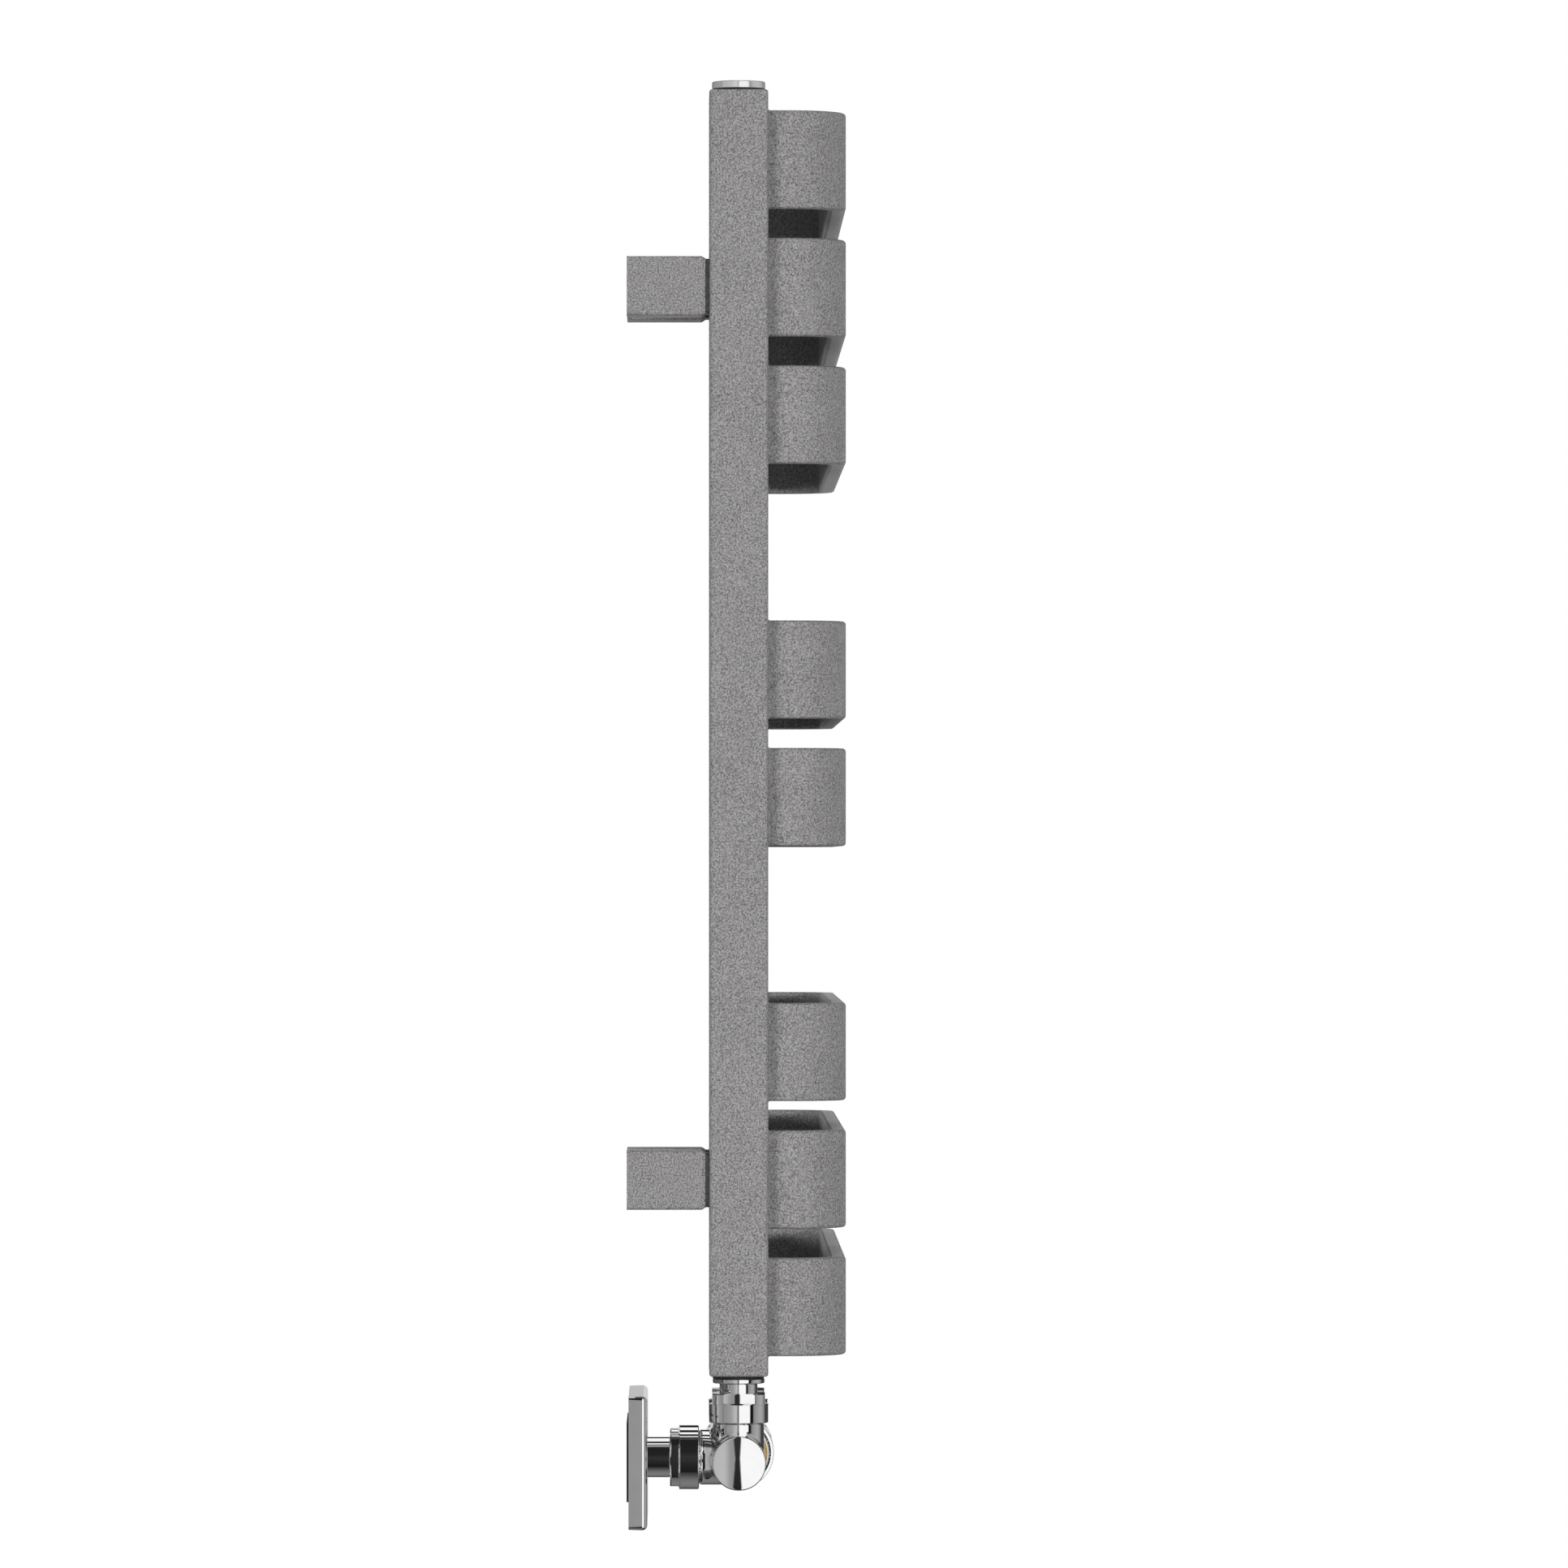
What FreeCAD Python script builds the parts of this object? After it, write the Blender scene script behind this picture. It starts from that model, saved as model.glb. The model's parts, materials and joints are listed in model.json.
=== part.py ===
import FreeCAD, Part
import os
import re
import Sketcher

# A wall-hung towel radiator with its twin valve, in millimetres, +Z up.
# The wall is the plane Y = 0 and the room is towards -Y.  X runs along the width.
# The origin is the middle of the four wall screws.
# Two square collectors stand side by side at one end.  Flat hollow bands leave the return
# collector's front face, bend round, run across the front, turn back in a half circle and
# return behind to the flow collector's side face.  The valve hangs under the collectors.

SIZES = [
    # collectors
    ("collector_height", 655), ("collector_side", 30), ("collector_wall", 1.5),
    ("collector_corner", 2), ("collector_front", 72), ("collector_spacing", 50),
    ("end_plate", 4), ("end_round", 1.5), ("socket_wall", 2.2), ("socket_depth", 10),
    ("socket_radius", 10.48), ("thread_gap", 0.05),
    # heating bands
    ("overall_width", 500), ("band_reach", 112), ("band_height", 50), ("band_depth", 8.5),
    ("band_wall", 1.2), ("band_edge", 1.8), ("band_pitch", 65),
    # plugs on top of the collectors
    ("plug_seal", 1), ("plug_head", 3.6), ("plug_radius", 13.6), ("plug_round", 0.8),
    ("blanking_hex", 5.5), ("blanking_hex_depth", 2.4),
    ("bleed_radius", 3), ("bleed_gap", 0.06), ("bleed_cup", 4.6), ("bleed_cup_depth", 2.2),
    ("bleed_shank", 8.6), ("bleed_seat", 1.2), ("bleed_drive", 3.4),
    # wall brackets
    ("bracket_inset", 100), ("bracket_side", 30.2), ("bracket_corner", 2), ("bracket_wall", 1.2),
    ("bracket_neck", 2), ("bracket_gap", 0.1), ("bracket_round", 1.1), ("stub_wall", 3),
    ("stub_corner", 1.4), ("stub_engagement", 16),
    ("base_plate", 3), ("base_depth", 10), ("wall_screw_radius", 3.25),
    ("grub_radius", 2.45), ("grub_length", 4.2), ("grub_hex", 1.35), ("grub_hex_depth", 2),
    ("grub_sink", 0.5), ("grub_hole_gap", 0.2),
    # unions between the collectors and the valve
    ("tail_seal", 1.5), ("tail_flange", 2.3), ("tail_flange_radius", 13.25), ("tail_neck", 5),
    ("tail_shoulder", 2), ("tail_collar", 2.7), ("tail_collar_gap", 0.35), ("tail_bore", 6.5),
    ("tail_seal_radius", 12.9), ("union_washer", 1),
    ("nut_wall", 3.1), ("nut_flat_wall", 1.5), ("nut_corner_gain", 0.35),
    ("nut_flat_length", 5.7), ("nut_skirt", 9.4), ("nut_lip", 4.5), ("nut_chamfer", 0.6),
    ("neck_gap", 0.3),
    ("spigot_radius", 11.95), ("branch_gap", 0.3), ("branch_length", 18.9),
    ("upper_branch_gain", 0.95), ("wall_branch_gain", 0.8),
    # pipe connections towards the wall
    ("pipe_radius", 7.5), ("pipe_gap", 0.1), ("sleeve_wall", 1.4), ("wall_branch_length", 20.2),
    ("pipe_nut_flat_length", 5), ("pipe_nut_skirt", 9.8), ("pipe_nut_lip", 4),
    ("olive_length", 4), ("olive_wall", 2), ("olive_taper", 1.1), ("stop_step", 3),
    # valve body
    ("barrel_gain", 0.3), ("barrel_lip", 0.1), ("insert_radius", 10.5),
    ("insert_depth", 9), ("chamber_radius", 8.4), ("seat_setback", 24), ("seat_wall", 2),
    ("seat_radius", 4.5), ("centre_wall", 4), ("rear_chamber_radius", 5),
    ("waterway", 5.5), ("inlet_wall", 2.6), ("link_radius", 3), ("link_wall", 2.3),
    ("bridge_height", 15), ("bridge_wall", 1.8),
    # thermostatic insert and head
    ("insert_shoulder", 7.5), ("insert_thread_radius", 14.95), ("guide_wall", 3),
    ("cavity_radius", 5.5), ("pin_radius", 1.5), ("pin_gap", 0.06), ("pin_out", 17),
    ("pin_collar", 1), ("pin_collar_out", 6), ("plug_rest_gap", 1.3), ("plug_thickness", 3),
    ("valve_plug_radius", 6.3), ("pin_seat", 1.2),
    ("spring_radius", 3.5), ("spring_wire", 0.5), ("spring_turns", 5), ("spring_end_gap", 0.3),
    ("head_nut_start", 1), ("head_nut_length", 12), ("head_nut_wall", 1.3),
    ("head_nut_lip", 3), ("head_nut_grip", 1.95),
    ("base_bore", 6), ("base_gap", 0.1), ("base_floor", 5), ("base_length", 45), ("base_step", 15),
    ("base_wall", 1.92), ("capsule_radius", 10), ("capsule_gap", 0.08),
    ("capsule_foot", 2), ("capsule_length", 28), ("capsule_stem", 6.9),
    ("handle_start", 3), ("handle_end", 73), ("handle_gap", 0.6), ("handle_wall", 1.6),
    ("handle_web", 3), ("handle_web_gap", 0.5), ("hub_wall", 2), ("hub_start", 27),
    ("end_cap", 2), ("end_cap_ledge", 1.4), ("handle_round", 0.8),
    # lockshield side
    ("gland_collar_radius", 12), ("gland_collar", 6), ("gland_neck_radius", 7),
    ("gland_neck", 8), ("spindle_radius", 4), ("spindle_gap", 0.05), ("spindle_collar", 2.6),
    ("spindle_collar_radius", 6.5), ("gland_recess", 3), ("lock_screw_radius", 2.5),
    ("lock_tip_gap", 1.6), ("lock_rest_gap", 2.1), ("lock_plug_length", 6.5),
    ("lock_plug_floor", 1.7), ("spindle_end", 18), ("spindle_drive", 5), ("drive_radius", 3.6),
    ("ring_width", 1.6), ("ring_depth", 1.5), ("cap_start", 1.3), ("cap_end", 28),
    ("cap_wall", 1.7), ("cap_end_wall", 2.5), ("cap_chamfer", 0.5), ("cap_gap", 0.05),
    # cover plate
    ("plate_width", 130), ("plate_height", 68), ("plate_depth", 9.5), ("plate_gasket", 1),
    ("plate_corner", 2.4), ("plate_round", 1.8), ("plate_wall", 1.8), ("plate_hole_gap", 0.1),
    ("boss_wall", 2.4), ("gasket_width", 112), ("gasket_height", 40), ("gasket_hole_gap", 0.4),
]

# Places and sizes that follow from the driving dimensions, written as formulas of them.
DERIVED = {
    "collector_y": "-(collector_front - collector_side/2)",
    "collector_x": "collector_spacing/2",
    "collector_back": "collector_front - collector_side",
    "band_front_y": "-(band_reach - band_depth/2)",
    "band_bend": "(collector_y - band_front_y)/2",
    "band_bend_y": "band_front_y + band_bend",
    "far_face_x": "overall_width - collector_x - collector_side/2",
    "far_bend_x": "far_face_x - band_depth/2 - band_bend",
    "flow_side_x": "collector_x + collector_side/2",
    "band_inner_edge": "band_edge - band_wall/2",
    "shank_radius": "socket_radius - thread_gap",
    "bracket_z": "collector_height/2 - bracket_inset",
    "bracket_length": "collector_back - bracket_neck",
    "stub_side": "bracket_side - 2*bracket_wall - 2*bracket_gap",
    "base_grub_y": "(base_plate + base_depth)/2",
    "stub_grub_y": "bracket_length - stub_engagement/2",
    "grub_hole": "grub_radius + thread_gap",
    "tail_collar_radius": "spigot_radius - tail_collar_gap",
    "tail_neck_radius": "tail_collar_radius - tail_shoulder",
    "nut_top": "tail_seal + tail_flange + tail_neck",
    "collar_top": "nut_top + nut_lip",
    "collar_bottom": "collar_top + tail_collar",
    "spigot_top": "collar_bottom + union_washer",
    "nut_bottom": "nut_top + nut_flat_length + nut_skirt",
    "nut_thread": "spigot_radius + thread_gap",
    "nut_skirt_radius": "nut_thread + nut_wall",
    "nut_corner": "nut_skirt_radius + nut_corner_gain",
    "nut_flats": "2*(nut_thread + nut_flat_wall)",
    "upper_branch_radius": "spigot_radius + upper_branch_gain",
    "wall_branch_radius": "spigot_radius + wall_branch_gain",
    "valve_drop": "nut_bottom + branch_length",
    "valve_z": "-(collector_height/2 + valve_drop)",
    "pipe_bore": "pipe_radius + pipe_gap",
    "sleeve_radius": "pipe_bore + sleeve_wall",
    "pipe_nut_end": "-collector_y - wall_branch_length",
    "sleeve_length": "pipe_nut_end - pipe_nut_skirt - pipe_nut_flat_length",
    "olive_start": "sleeve_length + pipe_nut_lip",
    "pipe_spigot": "olive_start + olive_length",
    "inlet_end": "-collector_y - chamber_radius - inlet_wall",
    "pipe_stop": "inlet_end - stop_step",
    "link_offset": "-collector_y - chamber_radius - link_wall - link_radius",
    "bridge_back": "link_offset - link_radius - bridge_wall",
    "barrel_radius": "upper_branch_radius + barrel_gain",
    "barrel_half": "collector_x + upper_branch_radius + barrel_lip",
    "seat_x": "barrel_half - seat_setback",
    "rear_chamber": "seat_x - seat_wall - centre_wall",
    "rear_x": "centre_wall",
    "head_nut_radius": "insert_thread_radius + thread_gap + head_nut_wall",
    "head_nut_lip_bore": "insert_thread_radius - head_nut_grip",
    "base_radius": "head_nut_lip_bore - base_gap",
    "base_step_radius": "capsule_radius + capsule_gap + base_wall",
    "head_nut_end": "head_nut_start + head_nut_length",
    "base_seat": "head_nut_end - head_nut_lip",
    "base_end": "base_seat + base_length",
    "pin_bore": "pin_radius + pin_gap",
    "plug_face": "-(seat_setback - plug_rest_gap)",
    "handle_bore": "head_nut_radius + handle_gap",
    "handle_radius": "handle_bore + handle_wall",
    "web_face": "base_end + handle_web_gap",
    "spindle_bore": "spindle_radius + spindle_gap",
    "lock_plug_face": "seat_setback - lock_rest_gap",
    "lock_screw_end": "lock_plug_face - lock_plug_floor - lock_tip_gap",
    "lock_plug_hole": "lock_plug_length - lock_plug_floor",
    "cap_bore": "gland_collar_radius + cap_gap",
    "cap_radius": "cap_bore + cap_wall",
    "plate_hole": "sleeve_radius + plate_hole_gap",
}

SUBPARTS = []
ALONG = {
    "+X": FreeCAD.Vector(1, 0, 0), "-X": FreeCAD.Vector(-1, 0, 0),
    "+Y": FreeCAD.Vector(0, 1, 0), "-Y": FreeCAD.Vector(0, -1, 0),
    "+Z": FreeCAD.Vector(0, 0, 1), "-Z": FreeCAD.Vector(0, 0, -1),
}

SLOTS = (0, 1, 2, 4, 5, 7, 8, 9)
MIDDLE_SLOT = 4.5


# ---- sheet and formulas -------------------------------------------------------------------

def make_sheet(document):
    """Writes each driving dimension into its own named cell."""
    sheet = document.addObject("Spreadsheet::Sheet", "Sizes")
    for row, (alias, number) in enumerate(SIZES, start=1):
        sheet.set(f"A{row}", alias)
        sheet.set(f"B{row}", str(number))
        sheet.setAlias(f"B{row}", alias)
    document.recompute()
    return sheet


def formula(text):
    """Turns the words of a formula into the sheet's cells."""
    def swap(match):
        word = match.group()
        if word in DERIVED:
            return "(" + formula(DERIVED[word]) + ")"
        return "Sizes." + word
    return re.sub(r"[a-z][a-z_]*[a-z](?![a-z_(])", swap, text)


def size(text):
    """Gives a formula's value, for the first guess of a sketch or for picking an edge."""
    return float(SHEET.evalExpression(formula(text)))


def bind(thing, name, text):
    """Binds a property to a formula of the driving dimensions."""
    thing.setExpression(name, formula(text))


def place(thing, at, along="+Z"):
    """Puts a thing at a place, with its own Z axis pointing along an axis."""
    turn = FreeCAD.Rotation(ALONG["+Z"], ALONG[along])
    thing.Placement = FreeCAD.Placement(FreeCAD.Vector(), turn)
    for letter, text in zip("xyz", at):
        bind(thing, f"Placement.Base.{letter}", text)
    return thing


def keep(thing, label):
    """Names a finished sub-part."""
    thing.Label = label
    SUBPARTS.append(thing)
    return thing


# ---- sketches -----------------------------------------------------------------------------

def start_sketch(body, role, offset="0"):
    """Starts a sketch on one of the body's own origin planes."""
    sketch = body.newObject("Sketcher::SketchObject", body.Name + "_sketch")
    plane = [item for item in body.Origin.OriginFeatures if item.Role == role][0]
    sketch.AttachmentSupport = [(plane, "")]
    sketch.MapMode = "FlatFace"
    bind(sketch, "AttachmentOffset.Base.z", offset)
    return sketch


def constrain(sketch, kind, *places, text):
    """Adds a dimension that follows a formula."""
    index = sketch.addConstraint(Sketcher.Constraint(kind, *places, size(text)))
    sketch.setExpression(f"Constraints[{index}]", formula(text))


def pin_point(sketch, edge, end, x, y):
    """Fixes a point of an edge from the sketch's origin."""
    constrain(sketch, "DistanceX", -1, 1, edge, end, text=x)
    constrain(sketch, "DistanceY", -1, 1, edge, end, text=y)


def add_line(sketch, start, end):
    """Adds a straight edge between two points given as pairs of numbers."""
    return sketch.addGeometry(
        Part.LineSegment(FreeCAD.Vector(*start, 0), FreeCAD.Vector(*end, 0)), False)


def outline(sketch, points):
    """Draws a closed outline whose corners are pairs of formulas."""
    guesses = [(size(x), size(y)) for x, y in points]
    edges = [add_line(sketch, guesses[i - 1], guesses[i]) for i in range(len(points))]
    for i, edge in enumerate(edges):
        sketch.addConstraint(Sketcher.Constraint("Coincident", edges[i - 1], 2, edge, 1))
    for edge, (x, y) in zip(edges, points):
        pin_point(sketch, edge, 2, x, y)


def circle(sketch, radius, x="0", y="0"):
    """Draws a circle."""
    centre = FreeCAD.Vector(size(x), size(y), 0)
    edge = sketch.addGeometry(Part.Circle(centre, ALONG["+Z"], size(radius)), False)
    pin_point(sketch, edge, 3, x, y)
    constrain(sketch, "Radius", edge, text=radius)


def rectangle(sketch, width, height, x="0", y="0"):
    """Draws a rectangle about its centre."""
    corners = [(-1, -1), (1, -1), (1, 1), (-1, 1)]
    outline(sketch, [(f"{x} + {i}*({width})/2", f"{y} + {j}*({height})/2") for i, j in corners])


def rounded(sketch, width, height, radius, x="0", y="0"):
    """Draws a rectangle with round corners about its centre."""
    quarter = 3.141592653589793 / 2
    corners = [(1, -1), (1, 1), (-1, 1), (-1, -1)]
    centres = [(f"{x} + {i}*(({width})/2 - ({radius}))", f"{y} + {j}*(({height})/2 - ({radius}))")
               for i, j in corners]
    arcs = []
    for number, (cx, cy) in enumerate(centres):
        whole = Part.Circle(FreeCAD.Vector(size(cx), size(cy), 0), ALONG["+Z"], size(radius))
        arc = Part.ArcOfCircle(whole, (number - 1) * quarter, number * quarter)
        arcs.append(sketch.addGeometry(arc, False))
    for i, arc in enumerate(arcs):
        start = sketch.getPoint(arcs[i - 1], 2)
        end = sketch.getPoint(arc, 1)
        line = add_line(sketch, (start.x, start.y), (end.x, end.y))
        sketch.addConstraint(Sketcher.Constraint("Tangent", arcs[i - 1], 2, line, 1))
        sketch.addConstraint(Sketcher.Constraint("Tangent", line, 2, arc, 1))
    for arc, (cx, cy) in zip(arcs, centres):
        pin_point(sketch, arc, 3, cx, cy)
        constrain(sketch, "Radius", arc, text=radius)


def regular(sketch, sides, radius):
    """Draws a regular polygon about the sketch's origin, with one corner on its X axis."""
    step = 360 / sides
    outline(sketch, [(f"({radius})*cos({k * step})", f"({radius})*sin({k * step})")
                     for k in range(sides)])


# ---- features -----------------------------------------------------------------------------

def start_body(name):
    """Starts a body."""
    return DOCUMENT.addObject("PartDesign::Body", name)


def pad(body, sketch, length, backwards=False, both_ways=False):
    """Adds material from a sketch."""
    feature = body.newObject("PartDesign::Pad", body.Name + "_pad")
    feature.Profile = sketch
    feature.Reversed = backwards
    feature.Midplane = both_ways
    bind(feature, "Length", length)
    DOCUMENT.recompute()
    return feature


def pocket(body, sketch, length=None, backwards=False):
    """Removes material below a sketch, to a depth or through everything."""
    DOCUMENT.recompute()
    before = body.Shape.Volume
    feature = body.newObject("PartDesign::Pocket", body.Name + "_pocket")
    feature.Profile = sketch
    feature.Reversed = backwards
    if length is None:
        feature.Type = "ThroughAll"
    else:
        bind(feature, "Length", length)
    DOCUMENT.recompute()
    if body.Shape.Volume >= before:
        raise RuntimeError(f"{feature.Name} removes nothing")
    return feature


def soften(body, radius, chosen):
    """Rounds the chosen edges of a body."""
    DOCUMENT.recompute()
    base = body.Tip
    names = [f"Edge{i}" for i, edge in enumerate(base.Shape.Edges, start=1) if chosen(edge)]
    feature = body.newObject("PartDesign::Fillet", body.Name + "_round")
    feature.Base = (base, names)
    bind(feature, "Radius", radius)
    DOCUMENT.recompute()
    return feature


def lies_at(edge, letter, number):
    """Says whether the whole edge lies in a plane across an axis."""
    box = edge.BoundBox
    low, high = getattr(box, letter + "Min"), getattr(box, letter + "Max")
    return abs(low - number) < 1e-3 and abs(high - number) < 1e-3


def turned(label, points, at, along="+Z"):
    """Makes a turned piece from the radius and height of each corner of its half section."""
    body = start_body(label)
    sketch = start_sketch(body, "XZ_Plane")
    outline(sketch, points)
    feature = body.newObject("PartDesign::Revolution", body.Name + "_turn")
    feature.Profile = sketch
    feature.ReferenceAxis = (sketch, ["V_Axis"])
    DOCUMENT.recompute()
    place(body, at, along)
    return body


def rod(radius, length, at, along="+Z"):
    """Makes a plain cylinder, for booleans."""
    thing = DOCUMENT.addObject("Part::Cylinder", "rod")
    bind(thing, "Radius", radius)
    bind(thing, "Height", length)
    return place(thing, at, along)


def block(length, width, height, at):
    """Makes a plain box from its lowest corner, for booleans."""
    thing = DOCUMENT.addObject("Part::Box", "block")
    bind(thing, "Length", length)
    bind(thing, "Width", width)
    bind(thing, "Height", height)
    return place(thing, at)


def join(things):
    """Fuses several things."""
    thing = DOCUMENT.addObject("Part::MultiFuse", "joined")
    thing.Shapes = things
    return thing


def cut(base, tools):
    """Cuts several tools out of a base."""
    thing = DOCUMENT.addObject("Part::Cut", "cut")
    thing.Base = base
    thing.Tool = join(tools) if len(tools) > 1 else tools[0]
    return thing


def group(label, things):
    """Keeps like pieces together as separate solids of one node."""
    thing = DOCUMENT.addObject("Part::Compound", label)
    thing.Links = things
    return keep(thing, label)


# ---- collectors and their ends ------------------------------------------------------------

def collector(label, side, port_plane):
    """Makes a square tube with a slot for each band in the wall that the bands meet."""
    body = start_body(label)
    section = start_sketch(body, "XY_Plane")
    rounded(section, "collector_side", "collector_side", "collector_corner")
    rounded(section, "collector_side - 2*collector_wall", "collector_side - 2*collector_wall",
            "collector_corner/2")
    pad(body, section, "collector_height - 2*end_plate", both_ways=True)
    ports = start_sketch(body, port_plane)
    for slot in SLOTS:
        rectangle(ports, "band_depth - 2*band_wall", "band_height - 2*band_wall",
                  y=f"{MIDDLE_SLOT - slot}*band_pitch")
    pocket(body, ports, backwards=True)
    place(body, (f"{side}*collector_x", "collector_y", "0"))
    return keep(body, label)


def collector_end(label, side, up):
    """Makes a welded end with its threaded socket inside the tube."""
    body = start_body(label)
    face = start_sketch(body, "XY_Plane")
    rounded(face, "collector_side", "collector_side", "collector_corner")
    pad(body, face, "end_plate", backwards=True)
    boss = start_sketch(body, "XY_Plane", "-end_plate")
    circle(boss, "socket_radius + socket_wall")
    pad(body, boss, "socket_depth - end_plate", backwards=True)
    bore = start_sketch(body, "XY_Plane")
    circle(bore, "socket_radius")
    pocket(body, bore)
    reach = size("socket_radius") + 1
    soften(body, "end_round",
           lambda edge: lies_at(edge, "Z", 0) and edge.BoundBox.Center.Length > reach)
    place(body, (f"{side}*collector_x", "collector_y", f"{up}*collector_height/2"),
          "+Z" if up > 0 else "-Z")
    return keep(body, label)


# ---- heating bands ------------------------------------------------------------------------

def band_path(body):
    """Draws the middle line of a band in plan."""
    path = start_sketch(body, "XY_Plane")
    side_x, front_y = size("-collector_x"), size("band_front_y")
    bend, bend_y = size("band_bend"), size("band_bend_y")
    far_x, back_y = size("far_bend_x"), size("collector_y")
    quarter = 3.141592653589793 / 2
    lead = add_line(path, (side_x, size("-collector_front")), (side_x, bend_y))
    near = Part.Circle(FreeCAD.Vector(side_x + bend, bend_y, 0), ALONG["+Z"], bend)
    near = path.addGeometry(Part.ArcOfCircle(near, 2 * quarter, 3 * quarter), False)
    front = add_line(path, (side_x + bend, front_y), (far_x, front_y))
    far = Part.Circle(FreeCAD.Vector(far_x, bend_y, 0), ALONG["+Z"], bend)
    far = path.addGeometry(Part.ArcOfCircle(far, -quarter, quarter), False)
    back = add_line(path, (far_x, back_y), (size("flow_side_x"), back_y))
    for first, end, second, start in (
            (lead, 2, near, 1), (near, 2, front, 1), (front, 2, far, 1), (far, 2, back, 1)):
        path.addConstraint(Sketcher.Constraint("Tangent", first, end, second, start))
    pin_point(path, lead, 1, "-collector_x", "-collector_front")
    pin_point(path, near, 3, "-collector_x + band_bend", "band_bend_y")
    pin_point(path, far, 3, "far_bend_x", "band_bend_y")
    pin_point(path, back, 2, "flow_side_x", "collector_y")
    constrain(path, "Radius", near, text="band_bend")
    constrain(path, "Radius", far, text="band_bend")
    return path


def band_section(body, inset, radius):
    """Draws a band's section where it leaves the return collector."""
    section = start_sketch(body, "XZ_Plane", "collector_front")
    rounded(section, f"band_depth - 2*{inset}", f"band_height - 2*{inset}", radius,
            x="-collector_x")
    return section


def sweep(body, kind, section, path):
    """Runs a section along the path."""
    feature = body.newObject(f"PartDesign::{kind}Pipe", body.Name + "_pipe")
    feature.Profile = section
    feature.Spine = (path, [f"Edge{i}" for i in range(1, path.GeometryCount + 1)])
    DOCUMENT.recompute()
    return feature


def heating_band(number, slot):
    """Makes one hollow flat tube, bent in plan from the return to the flow collector."""
    label = f"heating_band_{number}"
    body = start_body(label)
    path = band_path(body)
    sweep(body, "Additive", band_section(body, "0", "band_edge"), path)
    sweep(body, "Subtractive", band_section(body, "band_wall", "band_inner_edge"), path)
    place(body, ("0", "0", f"{MIDDLE_SLOT - slot}*band_pitch"))
    return keep(body, label)


# ---- plugs on top -------------------------------------------------------------------------

def collector_top(side):
    """Gives the middle of a collector's top."""
    return (f"{side}*collector_x", "collector_y", "collector_height/2")


def round_head(body):
    """Rounds the upper edge of a plug's head."""
    top, radius = size("plug_seal + plug_head"), size("plug_radius")
    soften(body, "plug_round", lambda edge: lies_at(edge, "Z", top)
           and abs(edge.BoundBox.XLength - 2 * radius) < 1e-3)


def vent_plug():
    """Makes the plug that the bleed screw sits in."""
    top = "plug_seal + plug_head"
    cup = f"{top} - bleed_cup_depth"
    body = turned("vent_plug", [
        ("bleed_seat", "-socket_depth"), ("shank_radius", "-socket_depth"),
        ("shank_radius", "plug_seal"), ("plug_radius", "plug_seal"), ("plug_radius", top),
        ("bleed_cup", top), ("bleed_cup", cup), ("bleed_radius", cup),
        ("bleed_radius", f"{cup} - bleed_shank"), ("bleed_seat", f"{cup} - bleed_shank"),
    ], ("0", "0", "0"))
    round_head(body)
    place(body, collector_top(-1))
    keep(body, "vent_plug")


def bleed_screw():
    """Makes the screw that lets air out, with a square head."""
    cup = "plug_seal + plug_head - bleed_cup_depth"
    tip = f"{cup} - bleed_shank"
    body = turned("bleed_screw", [
        ("0", f"{tip} + bleed_gap"), ("bleed_seat", f"{tip} + bleed_gap"),
        ("bleed_radius - bleed_gap", f"{tip} + bleed_radius/2"),
        ("bleed_radius - bleed_gap", cup), ("0", cup),
    ], ("0", "0", "0"))
    head = start_sketch(body, "XY_Plane", cup)
    regular(head, 4, "bleed_drive")
    pad(body, head, "bleed_cup_depth - bleed_gap")
    place(body, collector_top(-1))
    keep(body, "bleed_screw")


def blanking_plug():
    """Makes the closed plug with a hexagon socket."""
    top = "plug_seal + plug_head"
    body = turned("blanking_plug", [
        ("0", "-socket_depth"), ("shank_radius", "-socket_depth"),
        ("shank_radius", "plug_seal"), ("plug_radius", "plug_seal"), ("plug_radius", top),
        ("0", top),
    ], ("0", "0", "0"))
    socket = start_sketch(body, "XY_Plane", top)
    regular(socket, 6, "blanking_hex")
    pocket(body, socket, "blanking_hex_depth")
    round_head(body)
    place(body, collector_top(1))
    keep(body, "blanking_plug")


def washer(name, inner, outer, thickness, at, along="+Z"):
    """Makes a flat ring."""
    return turned(name, [(inner, "0"), (outer, "0"), (outer, thickness), (inner, thickness)],
                  at, along)


# ---- wall brackets ------------------------------------------------------------------------

def grub_holes(body, radius, *setbacks):
    """Drills the underside of a bracket piece for its grub screws."""
    sketch = start_sketch(body, "XY_Plane")
    for setback in setbacks:
        circle(sketch, radius, y=f"-({setback})")
    pocket(body, sketch)


def bracket_sleeve(label, at):
    """Makes the square sleeve that hides the wall base."""
    body = start_body(label)
    section = start_sketch(body, "XZ_Plane")
    rounded(section, "bracket_side", "bracket_side", "bracket_corner")
    hollow = "bracket_side - 2*bracket_wall"
    rounded(section, hollow, hollow, "bracket_corner - bracket_wall")
    pad(body, section, "bracket_length")
    front, inside = size("-bracket_length"), size(hollow) / 2 + 0.1
    soften(body, "bracket_round", lambda edge: lies_at(edge, "Y", front)
           and max(abs(edge.CenterOfMass.x), abs(edge.CenterOfMass.z)) > inside)
    grub_holes(body, "grub_hole + grub_hole_gap", "base_grub_y", "stub_grub_y")
    place(body, at)
    keep(body, label)


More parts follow.
